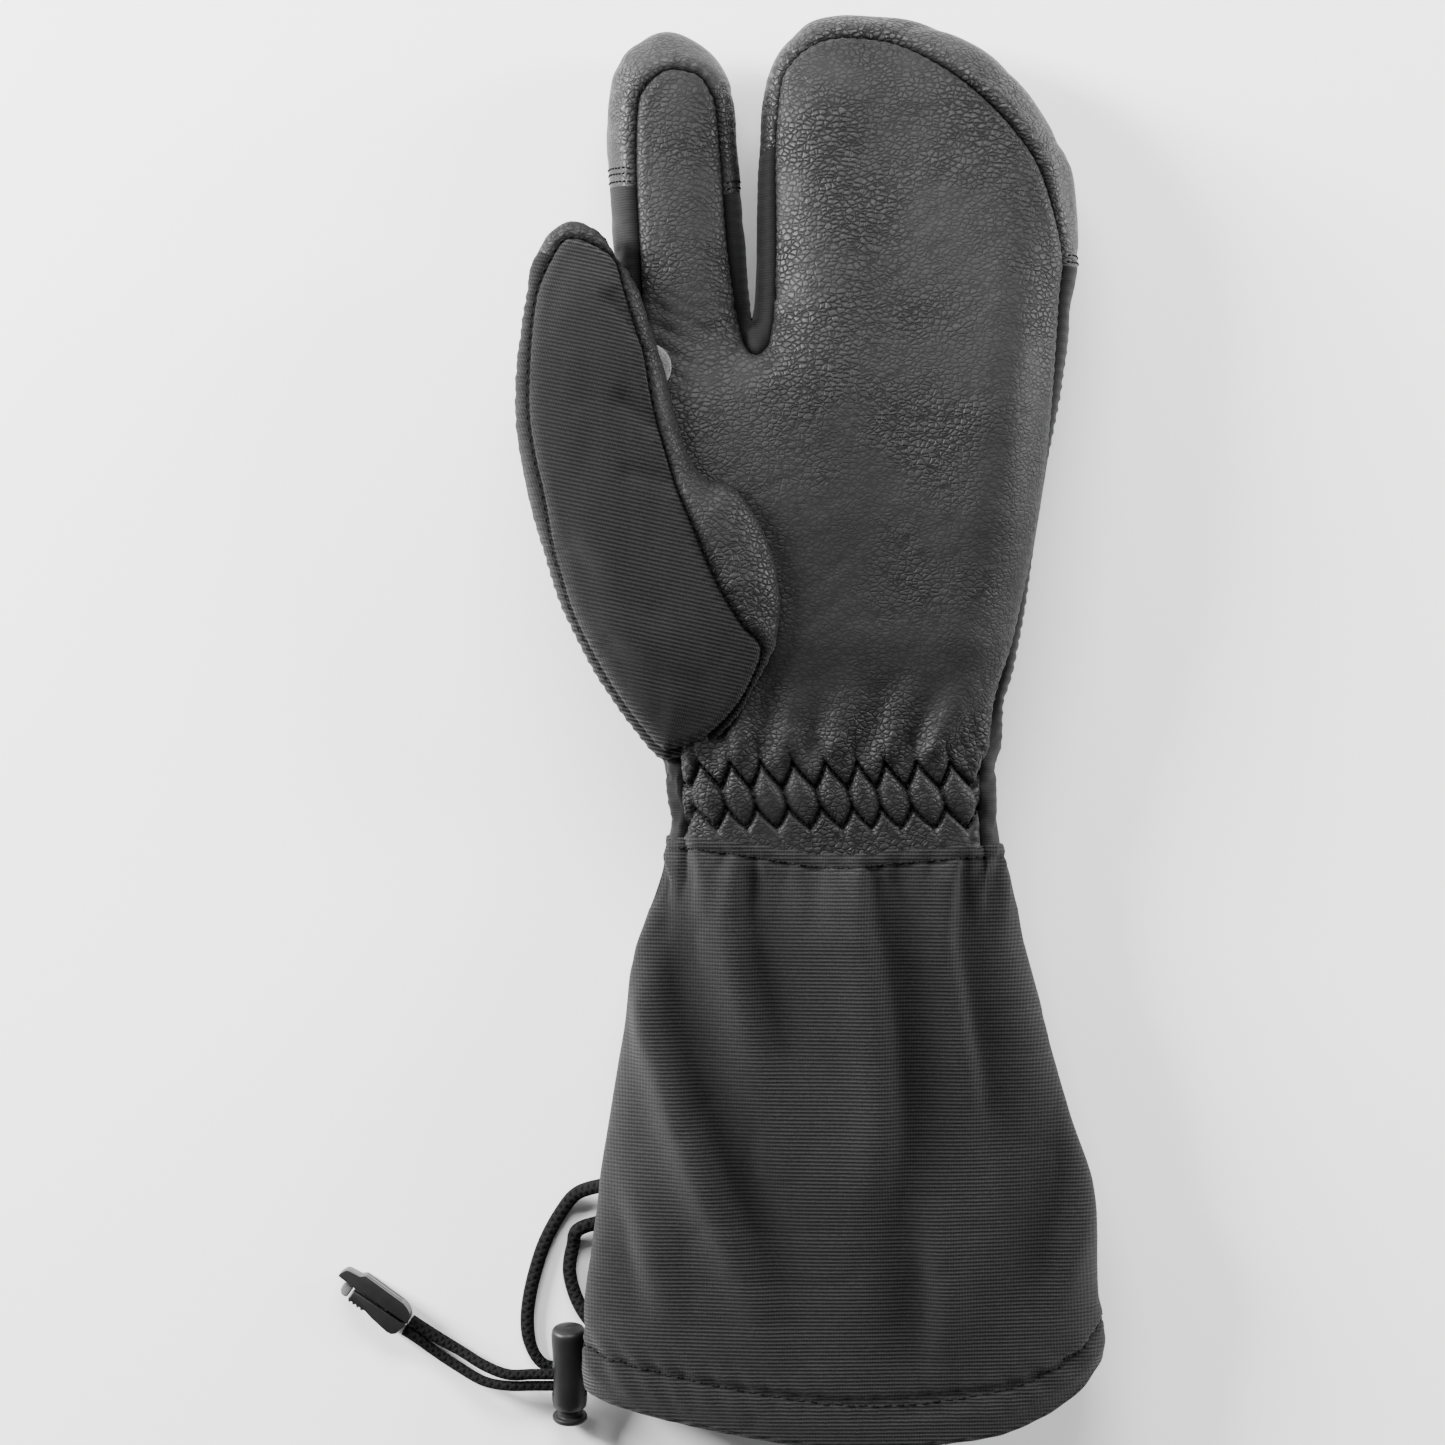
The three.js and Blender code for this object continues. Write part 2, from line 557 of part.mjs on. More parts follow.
// The cord end: two snapped halves that grip the two cords, lying on their side, with a grey locking peg.
const CORD_END_AT = new THREE.Vector3(-117, -145.6, 4.75);
const CORD_END_TURN = THREE.MathUtils.degToRad(144);
const CORD_END_WIDTH = 8.6; // across the halves, which is upright as it lies

function cordEnd() {
  const group = new THREE.Group();
  group.position.copy(CORD_END_AT);
  group.rotation.z = CORD_END_TURN;
  const slab = (points, width) => {
    const shape = new THREE.Shape(points.map(([x, y]) => new THREE.Vector2(x, y)));
    const geometry = new THREE.ExtrudeGeometry(shape, {
      depth: width - 1, bevelEnabled: true, bevelThickness: 0.5, bevelSize: 0.4, bevelOffset: -0.4,
      bevelSegments: 1,
    });
    geometry.translate(0, 0, 0.5 - width / 2);
    return solidOf(geometry);
  };
  const throat = new THREE.BoxGeometry(9, 6.4, 4.2);
  throat.translate(2.2, -0.4, 0);
  const throatCut = solidOf(throat);
  const cover = slab(
    [[0.4, -1.1], [0.6, -3.4], [4.2, -5], [17.4, -5], [18.2, -4], [22.4, -3.4], [23.4, -0.6], [18, -0.5]],
    CORD_END_WIDTH,
  ).subtract(throatCut);
  const base = slab(
    [
      [0.4, -0.4], [17.6, 0.2], [17.6, 2.9], [16.6, 2.9], [16.2, 3.6], [15.4, 2.9], [14.6, 3.7], [13.8, 3],
      [13, 3.8], [12.2, 3.1], [3.2, 4.2], [1.2, 3.2],
    ],
    CORD_END_WIDTH - 1.2,
  ).subtract(throatCut);
  const peg = slab([[18, 0], [20.8, 0.3], [20.4, 2.6], [19, 3.4], [18, 3]], 4.6);
  group.add(
    piece("cord_end_cover", cover, plastic),
    piece("cord_end_base", base, plastic),
    piece("cord_end_peg", peg, plasticGrey),
  );
  return group;
}

function strand(name, points, steps) {
  const mesh = new THREE.Mesh(tube(curve(points), CORD_RADIUS, CORD_SIDES, steps), elastic);
  mesh.name = name;
  return mesh;
}

// ---- Assembly -----------------------------------------------------------------------------------------

const palmPrism = prism(PALM_LEATHER, 0, 24);
const palmRim = prism(PALM_LEATHER, GAP, 24 - GAP);
const handShell = shellLayer.intersect(handRange).subtract(thumbDoor);
const handRest = handShell.subtract(palmRim);
const handWadding = waddingLayer.intersect(handRange).intersect(beyond(WADDING_START)).subtract(thumbDoor);
const forkGusset = box(-31.5, -13, 118.5, FAR, -FAR, FAR);
const forkGussetRim = box(-31.5 - GAP, -13 + GAP, 118.5 - GAP, FAR, -FAR, FAR);
const elasticBand = handForm(WADDING_OUT + 0.6, 20).subtract(handForm(WADDING_OUT + 1.8, 40));

function cap(left, right, raise) {
  return prism([
    [left[0] - 40, left[1] + raise], [left[0], left[1] + raise], [right[0], right[1] + raise],
    [right[0] + 40, right[1] + raise], [right[0] + 40, 260], [left[0] - 40, 260],
  ]);
}

// The wadding is cut as two batts, one over the other.
function waddingPieces(prefix, layer, seam) {
  return [
    piece(prefix + "_palm_wadding", layer.intersect(above(seam + GAP / 2)), wadding),
    piece(prefix + "_back_wadding", layer.intersect(below(seam - GAP / 2)), wadding),
  ];
}

function sleevePieces(prefix, range, capRegion, capRim) {
  const shell = shellLayer.intersect(range);
  const rest = shell.subtract(palmRim);
  return [
    piece(prefix + "_palm_face", shell.intersect(palmPrism), leather),
    piece(prefix + "_tip_cap", rest.intersect(capRegion), leatherCap),
    piece(prefix + "_back_shell", rest.subtract(capRim), softshell),
    ...waddingPieces(prefix, waddingLayer.intersect(range), WADDING_SEAM),
    piece(prefix + "_lining", liningLayer.intersect(range), fleece),
  ];
}

const patchAt = new THREE.CylinderGeometry(9, 9, 80, 16);
patchAt.rotateX(Math.PI / 2).translate(-49.5, 116, 40);
const patchDisc = solidOf(patchAt).intersect(above(24)).intersect(beyond(108.5));
const patchLayer = handForm(-0.95).subtract(handForm(-GAP));

const mitten = new THREE.Group();
mitten.add(
  piece("palm_leather", handShell.intersect(palmPrism), leather),
  piece("hand_back_shell", handRest.subtract(forkGussetRim), softshell),
  piece("fork_gusset", handRest.intersect(forkGusset), softshell),
  ...waddingPieces("hand", handWadding, WADDING_SEAM),
  piece("hand_lining", liningLayer.intersect(handRange).subtract(thumbDoor), fleece),
  piece("wrist_elastic", elasticBand.intersect(box(-FAR, FAR, -1, 9, -FAR, FAR)), elastic),
  piece("index_root_patch", patchLayer.intersect(patchDisc).subtract(thumbForm(0)), patchLeather),
  ...sleevePieces("index", indexRange, beyond(INDEX_CAP_START + GAP), beyond(INDEX_CAP_START)),
  ...sleevePieces(
    "fingers", fingersRange, cap(FINGERS_CAP_LEFT, FINGERS_CAP_RIGHT, GAP),
    cap(FINGERS_CAP_LEFT, FINGERS_CAP_RIGHT, 0),
  ),
  piece("thumb_back_panel", thumbShell.intersect(thumbBack), faceFabric),
  piece("thumb_side_panel", thumbRest.intersect(thumbLeft), faceFabric),
  piece("thumb_leather_face", thumbRest.intersect(thumbRight), leather),
  ...waddingPieces("thumb", thumbLayer(WADDING_OUT, WADDING_IN), THUMB_WADDING_SEAM),
  piece("thumb_lining", thumbLayer(LINING_OUT, LINING_IN), fleece),
  piece("gauntlet_palm_panel", cuffShell.intersect(above(cuffSeamZ + GAP / 2)), faceFabric),
  piece("gauntlet_back_panel", cuffShell.intersect(below(cuffSeamZ - GAP / 2)), faceFabric),
  piece("gauntlet_lining", cuffInner.intersect(aboveHem(HEM_DEPTH + GAP)), fleece),
  piece("hem_facing", cuffInner.intersect(hemBand(HEM_FOLD + GAP, HEM_DEPTH)), faceFabric),
  piece("hem_fold", cuffLayer(0, CUFF_LINING_IN).intersect(hemBand(0, HEM_FOLD)), faceFabric),
  eyelet("eyelet_upper", EYELETS.upper),
  eyelet("eyelet_lower", EYELETS.lower),
  cordLock(),
  cordEnd(),
  strand("drawcord_strand_upper", STRAND_A, 40),
  strand("drawcord_strand_lower", STRAND_B, 36),
);
const hidden = new THREE.Mesh(tube(hemRun(), CORD_RADIUS, CORD_SIDES, 54), elastic);
hidden.name = "drawcord_hem_run";
mitten.add(hidden);
mitten.position.y = -PALM_MIDDLE;

export default mitten;
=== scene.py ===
"""The looks of a three-finger ski mitten with a long gauntlet, lying palm up on a pale surface.

Lengths are in millimetres and Y counts from the gathered wrist, as in the CAD source, until make_mesh
turns them into the frame's metres and moves them by PALM_MIDDLE.
"""

import math

import bmesh
import bpy
import numpy as np
from mathutils import Matrix, Vector
from mathutils.bvhtree import BVHTree
from mathutils.geometry import delaunay_2d_cdt


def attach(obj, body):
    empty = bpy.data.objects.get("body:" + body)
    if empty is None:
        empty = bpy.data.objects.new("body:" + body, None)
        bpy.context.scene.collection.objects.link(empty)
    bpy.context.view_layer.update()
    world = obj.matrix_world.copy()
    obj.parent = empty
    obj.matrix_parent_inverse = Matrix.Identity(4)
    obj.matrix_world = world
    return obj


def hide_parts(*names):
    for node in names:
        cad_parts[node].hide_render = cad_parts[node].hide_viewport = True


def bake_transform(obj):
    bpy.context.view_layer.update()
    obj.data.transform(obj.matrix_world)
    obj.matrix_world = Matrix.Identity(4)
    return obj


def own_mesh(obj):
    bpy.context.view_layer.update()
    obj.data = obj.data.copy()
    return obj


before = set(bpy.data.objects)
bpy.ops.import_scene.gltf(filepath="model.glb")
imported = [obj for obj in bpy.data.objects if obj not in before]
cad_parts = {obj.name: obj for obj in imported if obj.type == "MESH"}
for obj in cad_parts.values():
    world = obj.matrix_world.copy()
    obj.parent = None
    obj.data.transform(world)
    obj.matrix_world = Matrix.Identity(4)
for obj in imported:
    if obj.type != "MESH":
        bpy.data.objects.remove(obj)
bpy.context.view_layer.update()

MM = 0.001
PALM_MIDDLE = 60.0  # the frame's origin, up from the gathered wrist
SPLIT_Y = 128.0  # the palm's leather is cut into pieces here, below both knuckles
FINGERS_BEND = (129.0, 149.0)
INDEX_BEND = (138.0, 164.0)
WRIST_BEND = (-26.0, 6.0)


# ---- Camera and light -----------------------------------------------------------------------------------


SENSOR_WIDTH = 36.0
LENS = 100.0
PICTURE_WIDTH = 390.0
PICTURE_MIDDLE = (-29.8, 20.9)
MIDDLE_HEIGHT = 30.0  # the height at which the picture has its stated width


def add_camera():
    data = bpy.data.cameras.new("camera")
    data.sensor_width = SENSOR_WIDTH
    data.lens = LENS
    camera = bpy.data.objects.new("camera", data)
    x, y = PICTURE_MIDDLE
    above = MIDDLE_HEIGHT * MM + PICTURE_WIDTH * MM * data.lens / SENSOR_WIDTH
    camera.location = (x * MM, (y - PALM_MIDDLE) * MM, above)
    camera.rotation_euler = (0, 0, 0)
    data.clip_start = 0.01
    bpy.context.scene.collection.objects.link(camera)
    bpy.context.scene.camera = camera


def add_area_light(name, place, aim, size, power):
    data = bpy.data.lights.new(name, "AREA")
    data.shape = "RECTANGLE"
    data.size, data.size_y = size
    data.energy = power
    data.color = (1, 1, 1)
    light = bpy.data.objects.new(name, data)
    light.location = place
    light.rotation_euler = (Vector(aim) - Vector(place)).to_track_quat("-Z", "Y").to_euler()
    bpy.context.scene.collection.objects.link(light)


add_camera()
add_area_light("key_left", (-1.15, 0.45, 0.52), (0, 0, 0.02), (0.3, 0.8), 96)
add_area_light("fill_right", (1.2, 0.35, 0.42), (0, 0, 0.02), (0.3, 0.9), 42)
add_area_light("top_soft", (-0.1, 1.1, 1.1), (0, 0, 0), (1.0, 0.5), 44)
world = bpy.data.worlds.new("studio")
bpy.context.scene.world = world
world.use_nodes = True
background = world.node_tree.nodes["Background"]
background.inputs["Color"].default_value = (1, 1, 1, 1)
background.inputs["Strength"].default_value = 0.24


# ---- Numbers and lines ----------------------------------------------------------------------------------

LATTICE = np.random.RandomState(7).uniform(-1, 1, (32, 32, 32))


def lumps(points, size, seed=0.0):
    """Smooth random heights from -1 to 1 at points (N x 3), with bumps about size apart."""
    p = np.asarray(points, float) / np.asarray(size, float) + seed * 7.31
    cell = np.floor(p).astype(int)
    f = p - cell
    f = f * f * (3 - 2 * f)
    total = np.zeros(len(p))
    for corner in range(8):
        d = np.array([corner & 1, corner >> 1 & 1, corner >> 2 & 1])
        at = (cell + d) % 32
        weight = np.prod(np.where(d, f, 1 - f), axis=1)
        total += weight * LATTICE[at[:, 0], at[:, 1], at[:, 2]]
    return total


def ridged(points, size, seed=0.0):
    """Sharp-bottomed creases: 0 on a crease and up to 1 away from it."""
    return np.minimum(np.abs(lumps(points, size, seed)) * 2.2, 1)


def step(low, high, x):
    t = np.clip((np.asarray(x, float) - low) / (high - low), 0, 1)
    return t * t * (3 - 2 * t)


def bump(x, width):
    return np.exp(-((np.asarray(x, float) / width) ** 2))


def blend_of(low, high, share):
    return low + (high - low) * share


def smooth_line(points, spacing, closed=False):
    """A Catmull-Rom curve through points of any dimension, cut at equal distances."""
    p = np.asarray(points, float)
    ends = (p[-1:], p[:2]) if closed else (2 * p[:1] - p[1:2], 2 * p[-1:] - p[-2:-1])
    q = np.concatenate([ends[0], p, ends[1]])
    t = np.linspace(0, 1, 24, endpoint=False)[:, None]
    parts = []
    for a, b, c, d in zip(q[:-3], q[1:-2], q[2:-1], q[3:]):
        parts.append(
            0.5 * (2 * b + (c - a) * t + (2 * a - 5 * b + 4 * c - d) * t**2 + (3 * b - a - 3 * c + d) * t**3)
        )
    fine = np.concatenate([*parts, q[-2:-1]])
    along = np.concatenate([[0], np.cumsum(np.linalg.norm(np.diff(fine, axis=0), axis=1))])
    count = max(int(round(along[-1] / spacing)), 2)
    cuts = np.linspace(0, along[-1], count + 1)
    line = np.stack([np.interp(cuts, along, fine[:, k]) for k in range(p.shape[1])], axis=1)
    return line[:-1] if closed else line


def nearest(points, line, closed=False):
    """For each point in XY: its distance to the line, and how far along the line the nearest place is."""
    points = np.asarray(points, float)[:, :2]
    a = np.asarray(line, float)[:, :2]
    b = np.roll(a, -1, axis=0) if closed else a[1:]
    a = a if closed else a[:-1]
    d = b - a
    length = np.linalg.norm(d, axis=1)
    before = np.concatenate([[0], np.cumsum(length)[:-1]])
    distance = np.empty(len(points))
    along = np.empty(len(points))
    for i in range(0, len(points), 4000):
        p = points[i : i + 4000, None, :]
        t = np.clip(((p - a) * d).sum(2) / np.maximum(length**2, 1e-12), 0, 1)
        gap = np.linalg.norm(p - (a + d * t[:, :, None]), axis=2)
        k = gap.argmin(1)
        rows = np.arange(len(k))
        distance[i : i + 4000] = gap[rows, k]
        along[i : i + 4000] = before[k] + t[rows, k] * length[k]
    return distance, along


def inside(points, outline):
    points = np.asarray(points, float)[:, :2]
    a = np.asarray(outline, float)[:, :2]
    b = np.roll(a, -1, axis=0)
    hit = np.zeros(len(points), bool)
    for (x0, y0), (x1, y1) in zip(a, b):
        if y0 == y1:
            continue
        crosses = (y0 > points[:, 1]) != (y1 > points[:, 1])
        hit ^= crosses & (points[:, 0] < (x1 - x0) * (points[:, 1] - y0) / (y1 - y0) + x0)
    return hit


# ---- Meshes ---------------------------------------------------------------------------------------------

FINE_SHARE = 0.55  # how close points lie in the dense part of a filled outline


def to_frame(points):
    p = np.array(points, float)
    p[:, 1] -= PALM_MIDDLE
    return p * MM


def make_mesh(name, points, faces, material, normals=None, uv=None, crease=None):
    """A smooth mesh from millimetre points. normals, one for each point, keep neighbours' shading level.
    crease, one for each point from 0 to 1, is how much shade is painted into the material there."""
    mesh = bpy.data.meshes.new(name)
    mesh.from_pydata([tuple(p) for p in to_frame(points)], [], [tuple(map(int, f)) for f in faces])
    mesh.shade_smooth()
    mesh.update()
    if uv is not None:
        layer = mesh.uv_layers.new(name="UVMap")
        for loop in mesh.loops:
            layer.data[loop.index].uv = uv[loop.vertex_index]
    # the crease attribute carries the shade painted into seams, zigzags and folds
    if crease is not None:
        layer = mesh.attributes.new("crease", "FLOAT", "POINT")
        layer.data.foreach_set("value", np.clip(crease, 0, 1).astype(np.float32))
    if normals is not None:
        mesh.normals_split_custom_set_from_vertices([tuple(n) for n in normals])
    mesh.materials.append(material)
    piece = bpy.data.objects.new(name, mesh)
    bpy.context.scene.collection.objects.link(piece)
    return piece


def vertex_normals(points, faces):
    faces = np.asarray([f if len(f) == 4 else (*f, f[2]) for f in faces])
    p = np.asarray(points, float)
    n = np.cross(p[faces[:, 2]] - p[faces[:, 0]], p[faces[:, 3]] - p[faces[:, 1]])
    tri = faces[:, 2] == faces[:, 3]
    t = faces[tri]
    n[tri] = np.cross(p[t[:, 1]] - p[t[:, 0]], p[t[:, 2]] - p[t[:, 0]])
    total = np.zeros_like(p)
    for k in range(4):
        np.add.at(total, faces[:, k], n)
    return total / np.maximum(np.linalg.norm(total, axis=1, keepdims=True), 1e-12)


def grid_faces(rows, columns, wrap=False, flip=False):
    faces = []
    for r in range(rows - 1):
        for c in range(columns if wrap else columns - 1):
            d = (c + 1) % columns
            f = (r * columns + c, r * columns + d, (r + 1) * columns + d, (r + 1) * columns + c)
            faces.append(f[::-1] if flip else f)
    return faces


def filled(outline, spacing, rings=(0.4, 0.9, 1.5), cuts=(), dense_below=None):
    """Triangles that fill an outline in XY. Points run in rings along the edge, then on a grid inside, which
    is finer below the Y of dense_below. cuts are lines across it that edges follow."""
    edge = np.asarray(outline, float)[:, :2]
    ahead = np.roll(edge, -1, axis=0) - np.roll(edge, 1, axis=0)
    ahead /= np.linalg.norm(ahead, axis=1, keepdims=True)
    area = (edge[:, 0] * np.roll(edge[:, 1], -1) - np.roll(edge[:, 0], -1) * edge[:, 1]).sum()
    inward = np.stack([-ahead[:, 1], ahead[:, 0]], axis=1) * (1 if area > 0 else -1)
    low, high = edge.min(0), edge.max(0)
    grid = []
    y, odd = low[1], 0
    while y < high[1]:
        apart = spacing * (FINE_SHARE if dense_below is not None and y < dense_below else 1)
        xs = np.arange(low[0] + odd * apart / 2, high[0], apart)
        grid.append(np.stack([xs, np.full(len(xs), y)], axis=1))
        y, odd = y + apart * math.sqrt(3) / 2, 1 - odd
    grid = np.concatenate(grid)
    grid = grid[inside(grid, edge)]
    margin = (rings[-1] if rings else 0) + spacing * 0.5
    grid = grid[nearest(grid, edge, closed=True)[0] > margin]
    layers = [edge]
    for ring in rings:
        at = edge + inward * ring
        at = at[inside(at, edge)]
        at = at[nearest(at, edge, closed=True)[0] > ring * 0.9]
        layers.append(at)
    edges = [(i, (i + 1) % len(edge)) for i in range(len(edge))]
    for cut in cuts:
        keep = inside(cut, edge) & (nearest(cut, edge, closed=True)[0] > 0.2)
        cut = np.asarray(cut, float)[keep]
        grid = grid[nearest(grid, cut)[0] > spacing * 0.45]
        layers = [layers[0]] + [x[nearest(x, cut)[0] > 0.25] for x in layers[1:]]
        layer_start = sum(len(x) for x in layers)
        layers.append(cut)
        edges += [
            (layer_start + i, layer_start + i + 1)
            for i in range(len(cut) - 1)
            if np.linalg.norm(cut[i + 1] - cut[i]) < 2 * spacing
        ]
    layers.append(grid)
    flat = np.concatenate(layers)
    made = delaunay_2d_cdt([Vector(p) for p in flat], edges, [], 1, 1e-5)
    points = [flat[first[0]] if first else tuple(at) for at, first in zip(made[0], made[3])]
    return np.array(points), [tuple(f) for f in made[2]]


def keep_faces(points, faces, wanted, *columns):
    """The faces for which wanted is true, with only their points and those points' values."""
    faces = [f for f, w in zip(faces, wanted) if w]
    used = sorted({i for f in faces for i in f})
    new = {old: i for i, old in enumerate(used)}
    return (points[used], [tuple(new[i] for i in f) for f in faces], *[c[used] for c in columns])


def face_middles(points, faces):
    return np.array([points[list(f)].mean(0) for f in faces])


def tube_mesh(path, radius, sides, flatten=1.0):
    """Points, faces and UV of a tube along a path, closed at both ends. flatten squeezes its section."""
    path = np.asarray(path, float)
    ahead = np.gradient(path, axis=0)
    ahead /= np.linalg.norm(ahead, axis=1, keepdims=True)
    side = np.cross(ahead[0], (0, 0, 1.0))
    side = side if np.linalg.norm(side) > 1e-3 else np.array([1.0, 0, 0])
    radius = np.broadcast_to(np.asarray(radius, float), len(path))
    along = np.concatenate([[0], np.cumsum(np.linalg.norm(np.diff(path, axis=0), axis=1))])
    points, uv = [], []
    for k, (p, t) in enumerate(zip(path, ahead)):
        side = side - t * (side @ t)
        side /= np.linalg.norm(side)
        up = np.cross(side, t)
        for i in range(sides):
            a = 2 * math.pi * i / sides
            c, s = math.cos(a), math.sin(a) * flatten
            points.append(p + radius[k] * (c * side + s * up))
            uv.append((i / sides, along[k]))
    faces = grid_faces(len(path), sides, wrap=True)
    faces.append(tuple(range(sides))[::-1])
    faces.append(tuple(range((len(path) - 1) * sides, len(path) * sides)))
    return np.array(points), faces, np.array(uv)


# ---- Materials ------------------------------------------------------------------------------------------


SEAM_SHADE_GREY = 0.0008  # the near-black grey painted as shade at the bottom of seams and of the grain's cracks


def grey(value):
    return (value, value, value, 1)


class Shader:
    """A material's nodes, added one at a time. An input is a value, or a socket to link from."""

    def __init__(self, name):
        self.material = bpy.data.materials.new(name)
        self.material.use_nodes = True
        self.tree = self.material.node_tree
        self.principled = self.tree.nodes["Principled BSDF"]
        self.coordinates = self.add("ShaderNodeTexCoord").outputs["Object"]

    def add(self, kind, inputs=(), **settings):
        node = self.tree.nodes.new(kind)
        for key, value in settings.items():
            setattr(node, key, value)
        for key, value in dict(inputs).items():
            self.set(node.inputs[key], value)
        return node

    def set(self, socket, value):
        if isinstance(value, bpy.types.NodeSocket):
            self.tree.links.new(value, socket)
        else:
            socket.default_value = value

    def finish(self, **inputs):
        for key, value in inputs.items():
            self.set(self.principled.inputs[key.replace("_", " ")], value)
        return self.material

    def mapped(self, scale=(1, 1, 1), turn=0.0, source=None):
        inputs = {"Vector": source or self.coordinates, "Scale": scale, "Rotation": (0, 0, turn)}
        return self.add("ShaderNodeMapping", inputs).outputs["Vector"]

    def noise(self, size, detail=3.0, vector=None, roughness=0.5):
        inputs = {
            "Vector": vector or self.coordinates, "Scale": 1 / size, "Detail": detail, "Roughness": roughness,
        }
        return self.add("ShaderNodeTexNoise", inputs).outputs["Fac"]

    def cells(self, size, vector=None, feature="F1"):
        inputs = {"Vector": vector or self.coordinates, "Scale": 1 / size, "Randomness": 1.0}
        return self.add("ShaderNodeTexVoronoi", inputs, feature=feature).outputs["Distance"]

    def bands(self, pitch, direction, vector=None, distortion=0.0):
        inputs = {
            "Vector": vector or self.coordinates, "Scale": math.pi / 10 / pitch, "Distortion": distortion,
            "Detail": 2.0, "Detail Scale": 3.0,
        }
        settings = {"wave_type": "BANDS", "bands_direction": direction, "wave_profile": "SIN"}
        return self.add("ShaderNodeTexWave", inputs, **settings).outputs["Fac"]

    def math(self, operation, a, b=0.5):
        return self.add("ShaderNodeMath", {0: a, 1: b}, operation=operation).outputs[0]

    def ramp(self, value, *stops):
        """stops are (position, grey)."""
        node = self.add("ShaderNodeValToRGB", {"Fac": value})
        elements = node.color_ramp.elements
        while len(elements) < len(stops):
            elements.new(0.5)
        for element, (position, colour) in zip(elements, stops):
            element.position = position
            element.color = grey(colour)
        return node.outputs["Color"]

    def mix(self, share, a, b):
        """From colour a to colour b. Either may be a grey."""
        node = self.add("ShaderNodeMix", data_type="RGBA", blend_type="MIX")
        for socket, value in zip((node.inputs[0], node.inputs[6], node.inputs[7]), (share, a, b)):
            is_grey = isinstance(value, float) and socket.type == "RGBA"
            self.set(socket, grey(value) if is_grey else value)
        return node.outputs[2]

    def painted_shade(self):
        """The mesh's crease value: how much shade is painted there."""
        return self.add("ShaderNodeAttribute", attribute_name="crease").outputs["Fac"]

    def bump(self, height, depth):
        inputs = {"Height": height, "Distance": depth, "Strength": 1.0}
        return self.add("ShaderNodeBump", inputs).outputs["Normal"]


def leather_material(name, dark, light, roughness=0.5, grain=1.45 * MM, depth=0.21 * MM):
    """Pebbled grain: rounded cells with fine cracks between, bolder in some places, with shade painted into
    the cracks and the seams.
    """
    s = Shader(name)
    drift = s.add("ShaderNodeTexNoise", {"Vector": s.coordinates, "Scale": 1 / (3 * MM), "Detail": 2.0})
    small = s.add("ShaderNodeVectorMath", {0: drift.outputs["Color"]}, operation="SCALE")
    small.inputs["Scale"].default_value = 0.9 * MM
    wander = s.add("ShaderNodeVectorMath", {0: s.coordinates, 1: small.outputs[0]}, operation="ADD")
    stretched = s.mapped((0.8, 1.1, 1.0), 0.15, source=wander.outputs[0])
    edge = s.ramp(s.cells(grain, stretched, "DISTANCE_TO_EDGE"), (0.0, 0.0), (0.2, 0.75), (0.5, 1.0))
    fine = s.cells(grain * 0.45, stretched)
    bold = s.ramp(s.noise(32 * MM, 3.0), (0.4, 0.35), (0.6, 1.0))
    painted_crack_shade = s.math("MULTIPLY", bold, s.math("SUBTRACT", 1.0, edge))
    blotch = s.noise(26 * MM, 4.0)
    shade = s.mix(blotch, grey(dark), grey(light))
    # shade painted into the grain's cracks: mixed toward the near-black seam grey
    colour = s.mix(s.math("MULTIPLY", painted_crack_shade, 0.75), shade, SEAM_SHADE_GREY)
    painted_shade = s.painted_shade()
    # shade painted into the seams from the mesh's crease value
    colour = s.mix(painted_shade, colour, SEAM_SHADE_GREY)
    pebble = s.math("MULTIPLY", edge, bold)
    height = s.math("ADD", pebble, s.math("MULTIPLY", fine, -0.18))
    height = s.math("ADD", height, s.math("MULTIPLY", s.noise(4.5 * MM, 2.0), 1.0))
    rough = s.math("ADD", s.math("MULTIPLY", pebble, -0.08), roughness + 0.04)
    shine = s.math("ADD", 0.14, s.math("MULTIPLY", bold, 0.11))
    # less reflection is painted in the cracks and the seams, as shade
    gloss = s.math("SUBTRACT", shine, s.math("MULTIPLY", painted_crack_shade, 0.15))
    gloss = s.math("MULTIPLY", s.math("SUBTRACT", 1.0, painted_shade), gloss)
    return s.finish(
        Base_Color=colour, Roughness=rough, Normal=s.bump(height, depth), Specular_IOR_Level=gloss
    )


def rib_material(name, dark, light, pitch, turn=0.0, roughness=0.85, depth=0.2 * MM):
    """Ottoman weave: ribs across the piece, each bound by fine threads, with a little wander and fluff."""
    s = Shader(name)
    vector = s.mapped((1, 1, 1), turn)
    ribs = s.bands(pitch, "Y", vector, 0.35)
    threads = s.bands(pitch * 0.42, "X", vector, 0.6)
    fluff = s.noise(0.5 * MM, 2.0)
    patchy = s.noise(30 * MM, 3.0)
    height = s.math("ADD", ribs, s.math("MULTIPLY", threads, 0.35))
    height = s.math("ADD", height, s.math("MULTIPLY", fluff, 0.4))
    # The colour is lighter on each rib's crest and darker between ribs, which is painted shade; the patchy
    # tone and the fluff are the yarn's own.
    value = s.math("ADD", s.math("MULTIPLY", ribs, 0.65), s.math("MULTIPLY", patchy, 0.3))
    value = s.math("ADD", value, s.math("MULTIPLY", s.math("SUBTRACT", fluff, 0.5), 0.9))
    painted_shade = s.painted_shade()
    # shade painted into seams and folds from the mesh's crease value, on the colour and on the reflection
    colour = s.mix(painted_shade, s.ramp(value, (0.15, dark), (0.9, light)), SEAM_SHADE_GREY)
    gloss = s.math("MULTIPLY", s.math("SUBTRACT", 1.0, painted_shade), 0.17)
    return s.finish(
        Base_Color=colour, Roughness=roughness, Normal=s.bump(height, depth), Sheen_Weight=0.08,
        Sheen_Roughness=0.4, Specular_IOR_Level=gloss,
    )


